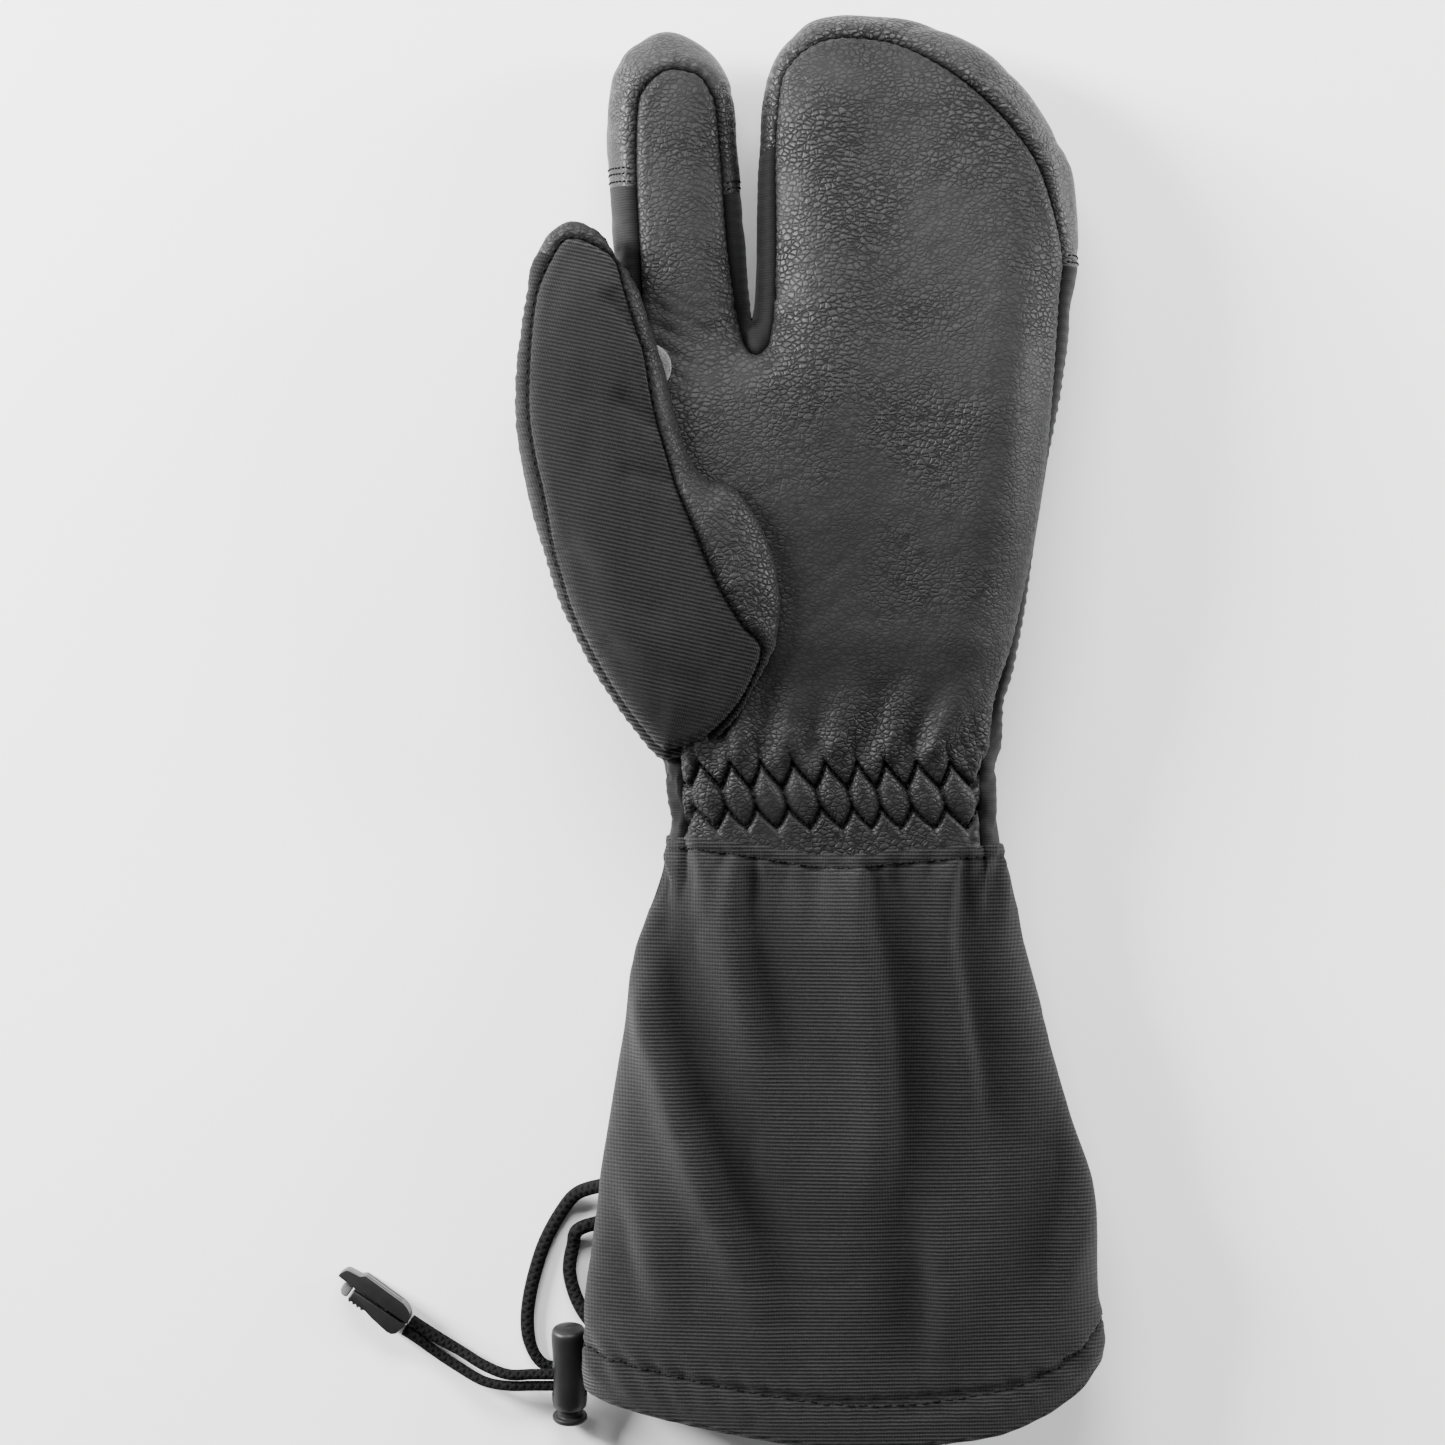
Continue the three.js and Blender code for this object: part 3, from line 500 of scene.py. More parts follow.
def fleece_material(name, dark, light, size):
    s = Shader(name)
    tufts = s.cells(size, feature="F1")
    fluff = s.noise(size * 0.4, 3.0)
    height = s.math("ADD", s.math("MULTIPLY", tufts, -0.8), fluff)
    # darker between the tufts, which is painted shade, and patchy with the fluff
    tone = s.math("ADD", s.math("MULTIPLY", fluff, 0.7), s.math("MULTIPLY", tufts, -0.2))
    colour = s.ramp(tone, (0.1, dark), (0.6, light))
    return s.finish(Base_Color=colour, Roughness=0.95, Normal=s.bump(height, 0.5 * MM), Sheen_Weight=0.4)


def braid_material(name, dark, light, strands=8, pitch=2.2):
    """A tubular braid from a tube's UV: U is once round and V is millimetres along."""
    s = Shader(name)
    uv = s.add("ShaderNodeUVMap", uv_map="UVMap").outputs["UV"]
    split = s.add("ShaderNodeSeparateXYZ", {0: uv})
    around = s.math("MULTIPLY", split.outputs[0], 2 * math.pi * strands / 2)
    along = s.math("MULTIPLY", split.outputs[1], 2 * math.pi / pitch)
    one = s.math("SINE", s.math("ADD", around, along))
    other = s.math("SINE", s.math("SUBTRACT", around, along))
    weave = s.math("MAXIMUM", one, other)
    weave = s.math("MULTIPLY", s.math("ADD", weave, 1.0), 0.5)
    fluff = s.noise(0.35 * MM, 2.0)
    height = s.math("ADD", weave, s.math("MULTIPLY", fluff, 0.5))
    # lighter on each strand's crest and darker between strands, which is painted shade; the fluff is the
    # yarn's own
    colour = s.ramp(s.math("MULTIPLY", s.math("ADD", weave, fluff), 0.5), (0.3, dark), (0.85, light))
    return s.finish(
        Base_Color=colour, Roughness=0.8, Normal=s.bump(height, 0.3 * MM), Specular_IOR_Level=0.08
    )


def plastic_material(name, tone, roughness=0.42):
    s = Shader(name)
    fine = s.noise(0.3 * MM, 2.0)
    scuffs = s.noise(6 * MM, 5.0, roughness=0.7)
    colour = s.ramp(scuffs, (0.3, tone * 0.85), (0.7, tone * 1.2))
    rough = s.math("ADD", s.math("MULTIPLY", scuffs, 0.2), roughness - 0.1)
    return s.finish(
        Base_Color=colour, Roughness=rough, Normal=s.bump(fine, 0.03 * MM), Specular_IOR_Level=0.25
    )


def metal_material(name, tone, roughness=0.32):
    s = Shader(name)
    scratches = s.noise(0.6 * MM, 4.0, s.mapped((1, 6, 1)))
    rough = s.math("ADD", s.math("MULTIPLY", scratches, 0.2), roughness - 0.1)
    colour = s.ramp(scratches, (0.3, tone * 0.8), (0.7, tone * 1.15))
    return s.finish(Base_Color=colour, Metallic=1.0, Roughness=rough, Normal=s.bump(scratches, 0.02 * MM))


THUMB_LEAN = math.radians(12.9)
leather = leather_material("leather_palm", 0.008, 0.016, 0.5)
cap_leather = leather_material("leather_cap", 0.016, 0.03, 0.4)
patch_leather = leather_material("leather_patch", 0.09, 0.17, 0.75, 0.9 * MM)
thumb_weave = rib_material("thumb_weave", 0.001, 0.01, 1.05 * MM, THUMB_LEAN, depth=0.3 * MM)
cuff_weave = rib_material("gauntlet_weave", 0.0008, 0.016, 1.0 * MM, depth=0.3 * MM)
softshell = rib_material("softshell_weave", 0.002, 0.006, 0.7 * MM, 0.0, 0.8, 0.05 * MM)
lining_cloth = rib_material("lining_cloth", 0.02, 0.035, 0.5 * MM, 0.6, 0.9, 0.06 * MM)
fleece = fleece_material("fleece", 0.018, 0.05, 1.6 * MM)
thread = braid_material("thread", 0.002, 0.009, 2, 1.2)
elastic = braid_material("elastic_cord", 0.0008, 0.006)
lock_plastic = plastic_material("lock_plastic", 0.007, 0.4)
peg_plastic = plastic_material("peg_plastic", 0.1)
dark_metal = metal_material("dark_metal", 0.07)
bright_metal = metal_material("bright_metal", 0.55, 0.25)


# ---- Drawcord ---------------------------------------------------------------------------------------------

FLOOR_GAP = 0.25  # no visible mesh but a stitch comes nearer to the floor than this
# The cord lock's own line starts at its foot and leans by LOCK_TILT.
LOCK_FOOT = np.array([-71.9, -171.6, 5.3])
LOCK_TILT = math.radians(18)
LOCK_AXIS = np.array([0, math.cos(LOCK_TILT), math.sin(LOCK_TILT)])
LOCK_HOLE_UP = 12.2  # from the lock's foot to the middle of its hole
CORD_SIDE = 1.75  # from there to the middle of each cord
TABLE = 1.8  # the height of a cord's middle where it lies on the floor
CORD_WIDTH = 3.9  # across the flat of the braid where it hangs free
PAIR_WIDTH = 3.4  # and where the lock has squeezed it


def in_lock(dx, side):
    """Where a cord passes the lock, dx from its middle."""
    return tuple(LOCK_FOOT + LOCK_AXIS * (LOCK_HOLE_UP + side * CORD_SIDE) + (dx, 0, 0))


STRAND_UPPER = [
    (-57.64, -106, 13.13), (-59.46, -106, 11.41), (-61.05, -106, 9.9), (-69.6, -109, 3.6),
    (-74.4, -114.5, TABLE), (-79, -123, TABLE), (-82, -132.3, TABLE), (-83.6, -140.4, TABLE),
    (-83.8, -147, TABLE), (-82.4, -152.8, TABLE), (-79.4, -156.7, TABLE), (-75.5, -157.2, TABLE),
    (-71.5, -154.6, TABLE), (-68.2, -151.4, TABLE), (-64, -148.9, TABLE), (-59.8, -149.8, TABLE),
    (-57.4, -153.4, 2.2), (-58.2, -157.8, 3.6), (-61.8, -161.4, 6),
    in_lock(5.5, -1), in_lock(0, -1), in_lock(-10, -1), in_lock(-17, -1),
    (-95.8, -160.6, 6.6), (-103.6, -156.6, 4), (-109.6, -152.7, 3.4), (-114.2, -149, 4.2),
    (-117.6, -146.7, 4.7),
]
STRAND_LOWER = [
    (-51.7, -115.5, 6.89), (-52.5, -115.5, 4.53), (-53.2, -115.5, 2.44), (-68.6, -118.6, 4.4),
    (-71.2, -124, TABLE), (-72.2, -130.6, TABLE), (-70.9, -136.6, 2.2), (-68.6, -141.4, 3.4),
    (-65.4, -145.4, 4.9), (-61.6, -148.6, 5), (-59.4, -151.6, 5.2), (-59.4, -155, 6.2), (-62, -157.9, 8),
    in_lock(5.5, 1), in_lock(0, 1), in_lock(-10, 1), in_lock(-17, 1),
    (-95.4, -156.2, 7.6), (-102.4, -152.4, 5), (-108.2, -149.2, 4.2), (-112.6, -146.4, 4.4),
    (-115.8, -144.2, 4.7),
]


def add_strand(name, node, route):
    line = smooth_line(route, 1.1)
    past_lock = step(-52, -58, line[:, 0]) * step(-148, -153, line[:, 1])
    width = blend_of(CORD_WIDTH, PAIR_WIDTH, past_lock)
    points, faces, uv = tube_mesh(line, width / 2, 14, flatten=0.82)
    points[:, 2] = np.maximum(points[:, 2], FLOOR_GAP)
    piece = make_mesh(name, points, faces, elastic, uv=uv)
    path = to_frame(line)
    belongs(piece, [node], "gauntlet")


def belongs(piece, nodes, body):
    """Hides the CAD nodes a piece stands for and parents it to the body it moves with."""
    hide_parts(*nodes)
    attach(piece, body)


def lathe(profile, segments, ring=False):
    """A body turned about the Y axis from (radius, y) points. It is closed at both ends, or a ring is closed
    from its last point to its first."""
    a = np.linspace(0, 2 * math.pi, segments, endpoint=False)
    points = np.concatenate(
        [np.column_stack([r * np.cos(a), np.full(segments, y), r * np.sin(a)]) for r, y in profile]
    )
    faces = grid_faces(len(profile), segments, wrap=True)
    last = (len(profile) - 1) * segments
    if ring:
        faces += [(last + i, last + (i + 1) % segments, (i + 1) % segments, i) for i in range(segments)]
    else:
        faces += [tuple(range(segments))[::-1], tuple(range(last, len(points)))]
    return points, faces


def solid_piece(name, points, faces, material, cutters=(), bevel=0.0):
    """A hard piece: its mesh with the cutters' shapes taken out, faces turned outwards and edges softened."""
    piece = make_mesh(name, points, faces, material)
    outwards(piece.data)
    for number, (cut_points, cut_faces) in enumerate(cutters):
        cutter = make_mesh(f"{name}_cutter_{number}", cut_points, cut_faces, material)
        outwards(cutter.data)
        modifier = piece.modifiers.new("cut", "BOOLEAN")
        modifier.operation = "DIFFERENCE"
        modifier.solver = "EXACT"
        modifier.object = cutter
        applied(piece)
        bpy.data.objects.remove(cutter)
    if bevel:
        modifier = piece.modifiers.new("edges", "BEVEL")
        modifier.width = bevel * MM
        modifier.segments = 3
        modifier.limit_method = "ANGLE"
        modifier.angle_limit = math.radians(35)
        applied(piece)
    piece.data.set_sharp_from_angle(angle=math.radians(38))
    return piece


def outwards(mesh):
    bm = bmesh.new()
    bm.from_mesh(mesh)
    bmesh.ops.recalc_face_normals(bm, faces=bm.faces)
    bm.to_mesh(mesh)
    bm.free()


def applied(piece):
    """Makes the piece's modifiers part of its mesh."""
    made = bpy.data.meshes.new_from_object(piece.evaluated_get(bpy.context.evaluated_depsgraph_get()))
    piece.modifiers.clear()
    old = piece.data
    piece.data = made
    bpy.data.meshes.remove(old)


def block(low, high):
    (x0, y0, z0), (x1, y1, z1) = low, high
    points = [(x, y, z) for x in (x0, x1) for y in (y0, y1) for z in (z0, z1)]
    faces = [(0, 1, 3, 2), (4, 6, 7, 5), (0, 4, 5, 1), (2, 3, 7, 6), (0, 2, 6, 4), (1, 5, 7, 3)]
    return np.array(points, float), faces


def on_lock(points):
    """From the lock's own line to its place."""
    c, s = math.cos(LOCK_TILT), math.sin(LOCK_TILT)
    x, y, z = np.asarray(points, float).T
    return np.column_stack([x, c * y - s * z, s * y + c * z]) + LOCK_FOOT


LOCK_SIDES = 56
SLOT_HALF_HEIGHT = 3.9
SLOT_HALF_WIDTH = 2.2
SPRING_TURNS = 4
SPRING_RADIUS = 2.6
SPRING_WIRE = 0.4  # its radius
SPRING_SPAN = (19.9, 25.5)  # from its lower to its upper end, up the lock
SPRING_TO_ROOF = 0.5


def add_lock():
    """The lock's barrel, its sprung plunger and its spring. Each slot for the cords is cut through."""
    shell = [
        (3.75, 4.4), (4.35, 4.4), (4.6, 4.7), (4.85, 6.4), (4.9, 9), (4.9, 13.5), (4.62, 16), (4.5, 18.5),
        (4.62, 21), (4.8, 24), (4.8, 26.2), (4.62, 27.2), (4.2, 27.8), (3.4, 28.1), (1.6, 28.3), (0.05, 28.3),
        (0.05, 26.4), (3.75, 26.4),
    ]
    points, faces = lathe(shell, LOCK_SIDES, ring=True)
    cut, cut_faces = block(
        (-10, LOCK_HOLE_UP - SLOT_HALF_HEIGHT, -SLOT_HALF_WIDTH),
        (10, LOCK_HOLE_UP + SLOT_HALF_HEIGHT, SLOT_HALF_WIDTH),
    )
    barrel = solid_piece(
        "cord_lock_barrel_skin", on_lock(points), faces, lock_plastic, [(on_lock(cut), cut_faces)], 0.3
    )
    belongs(barrel, ["cord_lock_barrel"], "cord_lock")
    button_and_stem = [
        (0.05, 0.0), (3.0, 0.0), (3.7, 0.15), (4.5, 0.35), (4.78, 0.75), (4.78, 1.35), (4.6, 1.7),
        (3.6, 1.95),
        (3.42, 2.3), (3.42, 18.4), (3.1, 19), (0.05, 19),
    ]
    points, faces = lathe(button_and_stem, LOCK_SIDES)
    cut, cut_faces = block(
        (-10, LOCK_HOLE_UP - 6.4, -SLOT_HALF_WIDTH), (10, LOCK_HOLE_UP + SLOT_HALF_HEIGHT, SLOT_HALF_WIDTH)
    )
    notch, notch_faces = block((-6, 2.2, -6), (6, 4.0, -3.1))
    plunger = solid_piece(
        "cord_lock_plunger_skin", on_lock(points), faces, lock_plastic,
        [(on_lock(cut), cut_faces), (on_lock(notch), notch_faces)], 0.25,
    )
    belongs(plunger, ["cord_lock_plunger"], "lock_plunger")
    return [barrel, plunger, add_spring()]


def add_spring():
    """The lock's wire spring, built at one length; the real one shortens as the plunger is pressed in."""
    at = np.linspace(0, 1, 100)
    turned = 2 * math.pi * SPRING_TURNS * at
    y = blend_of(*SPRING_SPAN, at)
    line = np.column_stack([SPRING_RADIUS * np.cos(turned), y, SPRING_RADIUS * np.sin(turned)])
    points, faces, uv = tube_mesh(on_lock(line), SPRING_WIRE, 10)
    spring = make_mesh("cord_lock_spring_wire", points, faces, bright_metal, uv=uv)
    belongs(spring, ["cord_lock_spring"], "cord_lock")
    roof = on_lock([(0, SPRING_SPAN[1] + SPRING_TO_ROOF, 0)])
    anchor = tuple(to_frame(roof)[0])
    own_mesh(spring)
    return spring


CORD_END_AT = np.array([-117, -145.6, 4.75])
CORD_END_TURN = math.radians(144)
CORD_END_WIDTH = 8.6


def slab(name, node, outline, width, material, cuts=()):
    """A moulded piece with the outline's shape, lying on its side at the cord's end."""
    outline = np.array(outline, float)
    count = len(outline)
    points = np.concatenate([np.column_stack([outline, np.full(count, z)]) for z in (-width / 2, width / 2)])
    faces = [tuple(range(count))[::-1], tuple(range(count, 2 * count))]
    faces += [(i, (i + 1) % count, count + (i + 1) % count, count + i) for i in range(count)]
    piece = solid_piece(name, on_end(points), faces, material, [(on_end(p), f) for p, f in cuts], 0.45)
    belongs(piece, [node], "gauntlet")
    return piece


def on_end(points):
    """From the cord end's own outline to its place."""
    c, s = math.cos(CORD_END_TURN), math.sin(CORD_END_TURN)
    x, y, z = np.asarray(points, float).T
    return np.column_stack([c * x - s * y, s * x + c * y, z]) + CORD_END_AT


def add_cord_end():
    throat = block((-2.3, -3.6, -2.1), (6.7, 2.8, 2.1))
    rim = [block((5.0, -5.6, z), (17.0, -4.3, z + 0.7)) for z in (-2.6, 1.9)]
    cover = [
        (0.4, -1.1), (0.5, -2.6), (1.2, -3.7), (2.6, -4.5), (4.4, -5), (17.2, -5), (18.0, -4.3), (18.4, -3.9),
        (21.6, -3.5), (22.5, -3.1), (23.2, -1.8), (23.4, -0.6), (18, -0.5),
    ]
    teeth = []
    for x in np.arange(12.2, 16.4, 1.35):
        teeth = [(x, 2.9), (x + 0.55, 3.75), *teeth]
    upper_edge = [*teeth, (11.4, 3.1), (9, 3.6), (3.6, 4.2), (2.2, 4), (1.2, 3.2)]
    base = [(0.4, -0.4), (17.6, 0.2), (17.6, 2.9), *upper_edge]
    base = [*base[:3], *sorted(base[3:], key=lambda corner: -corner[0])]
    peg = [(18, 0), (20.6, 0.2), (21, 1), (20.6, 2.5), (19.8, 3.2), (18.9, 3.4), (18, 3)]
    return [
        slab(
            "cord_end_cover_skin", "cord_end_cover", cover, CORD_END_WIDTH, lock_plastic,
            [throat, *rim],
        ),
        slab(
            "cord_end_base_skin", "cord_end_base", base, CORD_END_WIDTH - 1.2, lock_plastic,
            [throat],
        ),
        slab("cord_end_peg_skin", "cord_end_peg", peg, 4.6, peg_plastic),
    ]


def add_eyelet(name, node, at, out):
    """A rolled metal eyelet through the gauntlet, facing out."""
    profile = [
        (2.1, -2.2), (3.0, -2.2), (3.0, 0.5), (4.3, 0.55), (4.5, 0.75), (4.3, 1.15), (3.6, 1.45), (2.9, 1.45),
        (2.3, 1.2), (2.1, 0.6),
    ]
    points, faces = lathe(profile, 48, ring=True)
    turn = Vector((0, 1, 0)).rotation_difference(Vector(out))
    points = np.array([turn @ Vector(p) for p in points]) + at
    piece = solid_piece(name, points, faces, dark_metal)
    belongs(piece, [node], "gauntlet")


add_eyelet("eyelet_upper_skin", "eyelet_upper", np.array([-58.88, -106, 11.96]), (-0.7263, 0, -0.6874))
add_eyelet("eyelet_lower_skin", "eyelet_lower", np.array([-52.24, -115.5, 5.28]), (-0.3201, 0, -0.9474))
lock_pieces = add_lock()
cord_cover, cord_base, cord_peg = add_cord_end()
add_strand("drawcord_upper", "drawcord_strand_upper", STRAND_UPPER)
add_strand("drawcord_lower", "drawcord_strand_lower", STRAND_LOWER)


# ---- Forms shared by the sewn pieces ----------------------------------------------------------------------

STRIP_UPPER = 9  # rows of a side strip from the seam to the outline
STRIP_LOWER = 8  # and from the outline to the back
STRIP_UNDER = 9.0  # how far the lower rows reach in under the mitten
LEATHER_THICKNESS = 1.2


def round_off(t):
    """A rounded shoulder: 0 at an edge, rising steeply to 1."""
    return (1 - (1 - np.clip(t, 0, 1)) ** 2.4) ** (1 / 2.4)


TABLE_SOFTNESS = 9.0  # how far a corner in a table of sizes is rounded off, each way


def table(y, *stops):
    """Reads a table of sizes, with its corners rounded so that none shows as a line in the surface."""
    ys, values = zip(*stops)
    offsets = np.linspace(-1, 1, 11)
    weights = 1.1 - np.abs(offsets)
    read = [weight * np.interp(y + TABLE_SOFTNESS * at, ys, values) for at, weight in zip(offsets, weights)]
    return sum(read) / weights.sum()


def weld(points, faces):
    """Joins points that lie in one place. Returns the points, the faces and where each old point went."""
    _, first, place = np.unique(np.round(points, 3), axis=0, return_index=True, return_inverse=True)
    place = place.ravel()
    joined = [tuple(dict.fromkeys(place[list(f)])) for f in faces]
    return points[first], joined, place


def thick_piece(name, points, faces, normals, wanted, thickness, material, crease=None):
    """A closed piece of fabric: the wanted faces, the same faces a thickness further in, and an edge."""
    crease = np.zeros(len(points)) if crease is None else crease
    shape, kept, outward, painted_shade = keep_faces(points, faces, wanted, normals, crease)
    count = len(shape)
    edges = {}
    for face in kept:
        for a, b in zip(face, (*face[1:], face[0])):
            if edges.pop((b, a), None) is None:
                edges[(a, b)] = True
    inner = [tuple(i + count for i in face[::-1]) for face in kept]
    rim = [(b, a, a + count, b + count) for a, b in edges]
    both = np.concatenate([shape, shape - outward * thickness])
    both[:, 2] = np.maximum(both[:, 2], FLOOR_GAP)
    turned, painted_shade = np.concatenate([outward, -outward]), np.concatenate([painted_shade, painted_shade])
    return make_mesh(name, both, kept + inner + rim, material, turned, crease=painted_shade)


def evened(directions, reach=6):
    """Unit directions averaged with their neighbours, so that lines along them don't cross."""
    padded = np.pad(directions, ((reach, reach), (0, 0)), mode="edge")
    mean = sum(padded[i : i + len(directions)] for i in range(2 * reach + 1))
    return mean / np.linalg.norm(mean, axis=1, keepdims=True)


def strip_grid(ribs, upper_z, lower_z):
    """Rows across a side strip: from the seam over the outline and in under the mitten."""
    seam, outline = ribs[:, :2], ribs[:, 2:]
    across = seam - outline
    width = np.linalg.norm(across, axis=1, keepdims=True)
    inward = evened(across / width)
    under = np.where(width > STRIP_UNDER, np.minimum(STRIP_UNDER, 0.85 * width), STRIP_UNDER)
    columns = []
    for j in range(STRIP_UPPER + 1):
        left = 1 - math.sin(math.pi / 2 * j / STRIP_UPPER)
        at = outline + across * left
        columns.append(np.column_stack([at, upper_z(at)]))
    for j in range(1, STRIP_LOWER + 1):
        at = outline + inward * under * (1 - math.cos(math.pi / 2 * j / STRIP_LOWER))
        columns.append(np.column_stack([at, lower_z(at)]))
    return np.stack(columns, axis=1)


def joined(parts):
    """The points and faces of several (points, faces) as one, and which part each face is from."""
    points = np.concatenate([p for p, _ in parts])
    starts = np.cumsum([0] + [len(p) for p, _ in parts])
    faces = [tuple(i + start for i in f) for (_, some), start in zip(parts, starts) for f in some]
    kind = np.concatenate([np.full(len(some), number) for number, (_, some) in enumerate(parts)])
    return points, faces, kind


def surface_tree(points, faces):
    return BVHTree.FromPolygons([tuple(p) for p in points], [list(f) for f in faces])


# ---- The hand: palm leather, side strips and back ---------------------------------------------------------

# The palm's seam and the outline beside it, from the right of the wrist round the fingertips to the left of
# the wrist: seam x, seam y, outline x, outline y.
HAND_RIBS = [
    (41, -12.8, 46, -13), (40.2, -5, 44.3, -5), (39.9, 5.4, 43.2, 4), (42.4, 17.3, 45.2, 17),
    (50, 48.3, 51.5, 48), (57.4, 87.9, 58.1, 88), (61.2, 132.8, 64.8, 132), (62.1, 147.7, 67, 148.5),
    (56.3, 169, 65.5, 170), (48.9, 180.9, 61, 179.5), (38.2, 192, 52, 193.5), (27.5, 200, 40.5, 204),
    (16.7, 205.3, 25, 210.8), (6.2, 206.9, 10, 213.8), (-1.3, 206.4, -2.5, 212.9), (-7.3, 203.7, -9.5, 208.5),
    (-12, 199, -15, 201), (-14.6, 192.5, -18, 191), (-16.2, 171.2, -19.4, 170), (-16.2, 141.2, -20.5, 141),
    (-17.3, 125, -21.2, 132), (-20.8, 119.5, -21.9, 129.6), (-24, 125, -22.6, 132),
    (-27.5, 147.7, -24, 148.5),
    (-29.2, 170, -25.8, 172), (-30.8, 187, -27, 186), (-32.4, 191.4, -28.2, 195), (-35.4, 195.8, -32, 202.5),
    (-39.7, 197.4, -38, 207.5), (-44, 197.7, -44.5, 209.4), (-47.3, 196.3, -51, 207),
    (-51, 192.5, -57.3, 201),
    (-53.2, 187, -60.5, 191), (-53.7, 170, -60.7, 171), (-52.7, 145.5, -59, 147), (-52.5, 130, -58, 130),
    (-53, 104, -58, 104), (-52, 75, -57, 75), (-48.5, 45, -53, 45), (-44, 20, -48.5, 20),
    (-41.5, 8, -44.8, 8),
    (-40.5, -5, -43.5, -5), (-41.5, -10.5, -44.8, -12),
]
LEATHER_EDGE = [(-41.5, -10.5), (-25, -12.2), (-0.8, -15.7), (18, -14.3), (41, -12.8)]
CROTCH = (-21.9, 129.6)
FORK_X = -22.0

hand_ribs = smooth_line(HAND_RIBS, 1.5)
hand_seam = hand_ribs[:, :2]
hand_outline = hand_ribs[:, 2:]


def hand_top(p):
    x, y = p[:, 0], p[:, 1]
    wrist = ((-20, 36), (0, 37), (14, 41), (40, 45), (75, 47.5), (104, 46))
    fingers = table(
        y, *wrist, (121, 44), (130, 43), (152, 41), (172, 38.5), (188, 36), (200, 33.5), (213, 28)
    )
    index = table(y, *wrist, (121, 42), (150, 38.5), (172, 36), (188, 34.5), (199, 32), (209, 26))
    return blend_of(index, fingers, step(-30, -14, x))


def hand_middle(p):
    return table(p[:, 1], (150, 20.0), (213, 17.5))


def hand_upper(p):
    """The height of the palm side over each point, before its relief."""
    d = nearest(p, hand_outline)[0]
    on_index = step(-14, -30, p[:, 0]) * step(100, 125, p[:, 1])
    shoulder = blend_of(table(p[:, 1], (10, 20.0), (50, 24.0)), 17.0, on_index)
    low = hand_middle(p)
    return low + (hand_top(p) - low) * round_off(d / shoulder)


def hand_lower(p):
    d = nearest(p, hand_outline)[0]
    y = p[:, 1]
    bottom = table(y, (-13, 2.5), (30, -4), (180, -4), (190, 0), (202, 4), (209, 10), (214, 14))
    low = hand_middle(p)
    return np.maximum(low - (low - bottom) * round_off(d / 16), FLOOR_GAP)


PUFF_PITCH = 8.6
PUFF_SLANT = 0.27  # how far a puff leans to the right for each millimetre down
UPPER_ROW = (3.0, 9.4)  # the heights between which each zigzag of stitching runs
LOWER_ROW = (-7.6, -2.4)


def puff_phase(x, y):
    """Whole numbers in the middle of each puff between the zigzags."""
    flat = np.column_stack([x, np.zeros(len(x)), np.zeros(len(x))])
    return (x + 1.1 * lumps(flat, 17, 3) + PUFF_SLANT * y) / PUFF_PITCH


def zigzags(x, y):
    """The heights of both rows of stitching over each place."""
    phase = puff_phase(x, y)
    toward = np.abs(2 * (phase - np.round(phase)))  # 0 in the middle of a puff and 1 between two
    upper = UPPER_ROW[1] + (UPPER_ROW[0] - UPPER_ROW[1]) * toward
    lower = LOWER_ROW[0] + (LOWER_ROW[1] - LOWER_ROW[0]) * toward
    return upper, lower, toward


def pleats(x, y):
    """The gathers of the wrist: puffs between two zigzags, half puffs beyond them, and folds above."""
    upper, lower, toward = zigzags(x, y)
    inner = (1 - toward**2.2) ** 0.6
    outer = (1 - (1 - toward) ** 2.2) ** 0.6
    share = np.clip((y - lower) / (upper - lower), 0, 1)
    between = 2.5 * inner * np.sin(math.pi * share) ** 0.55
    over, under = np.maximum(y - upper, 0), np.maximum(lower - y, 0)
    above = 2.2 * outer * (1 - np.exp(-over / 1.5)) * np.exp(-over / 9)
    below = 1.6 * outer * (1 - np.exp(-under / 1.0)) * np.exp(-under / 6)
    flat = np.column_stack([x, y * 0.3, np.zeros(len(x))])
    fan = x * (1 - 0.006 * (y - 10)) - 0.22 * (y - 10) + 3 * lumps(flat, 16, 4)
    tall = np.cos(2 * math.pi * fan / 13) * step(7, 15, y) * bump(np.maximum(y - 13, 0), 15)
    return between + above + below + 1.3 * tall - 0.9


def zigzag_groove(x, y):
    upper, lower, _ = zigzags(x, y)
    return bump((y - upper) * 0.62, 0.62) + bump((y - lower) * 0.68, 0.62)


def zigzag(low, high, start, end):
    """The corners of a zigzag of stitching, as the puffs lie."""
    line = []
    for half in range(int(2 * start / PUFF_PITCH), int(2 * end / PUFF_PITCH) + 1):
        y = high if (half % 2 == 0) == (low == UPPER_ROW[0]) else low
        x = half * PUFF_PITCH / 2 - PUFF_SLANT * y
        for _ in range(3):
            x = half * PUFF_PITCH / 2 - PUFF_SLANT * y - 1.1 * lumps(np.array([[x, 0.0, 0.0]]), 17, 3)[0]
        line.append((x, y))
    return np.array(line)


def seam_relief(distance, along, depth=1.3):
    """Across a sewn seam: a narrow groove, small puckers from each stitch, and the full edge beside it."""
    sunk = -depth * bump(distance, 0.8)
    puckers = 0.22 * np.cos(2 * math.pi * along / 3.1) * bump(distance - 1.6, 1.3)
    return sunk + puckers + 0.45 * bump(distance - 2.6, 1.8)


PALM_SWELLS = [
    (22, 72, 20, 46, -1.7), (-2, 118, 20, 26, 1.6), (46, 118, 13, 34, 1.2), (14, 150, 11, 40, -0.9),
    (2, 34, 16, 18, 0.6), (38, 34, 11, 26, 1.0), (18, 170, 16, 22, -0.8), (-8, 182, 9, 16, 1.3),
    (-42, 120, 12, 16, -1.0), (-20, 62, 12, 18, -1.2), (50, 75, 8, 30, 1.0),
]


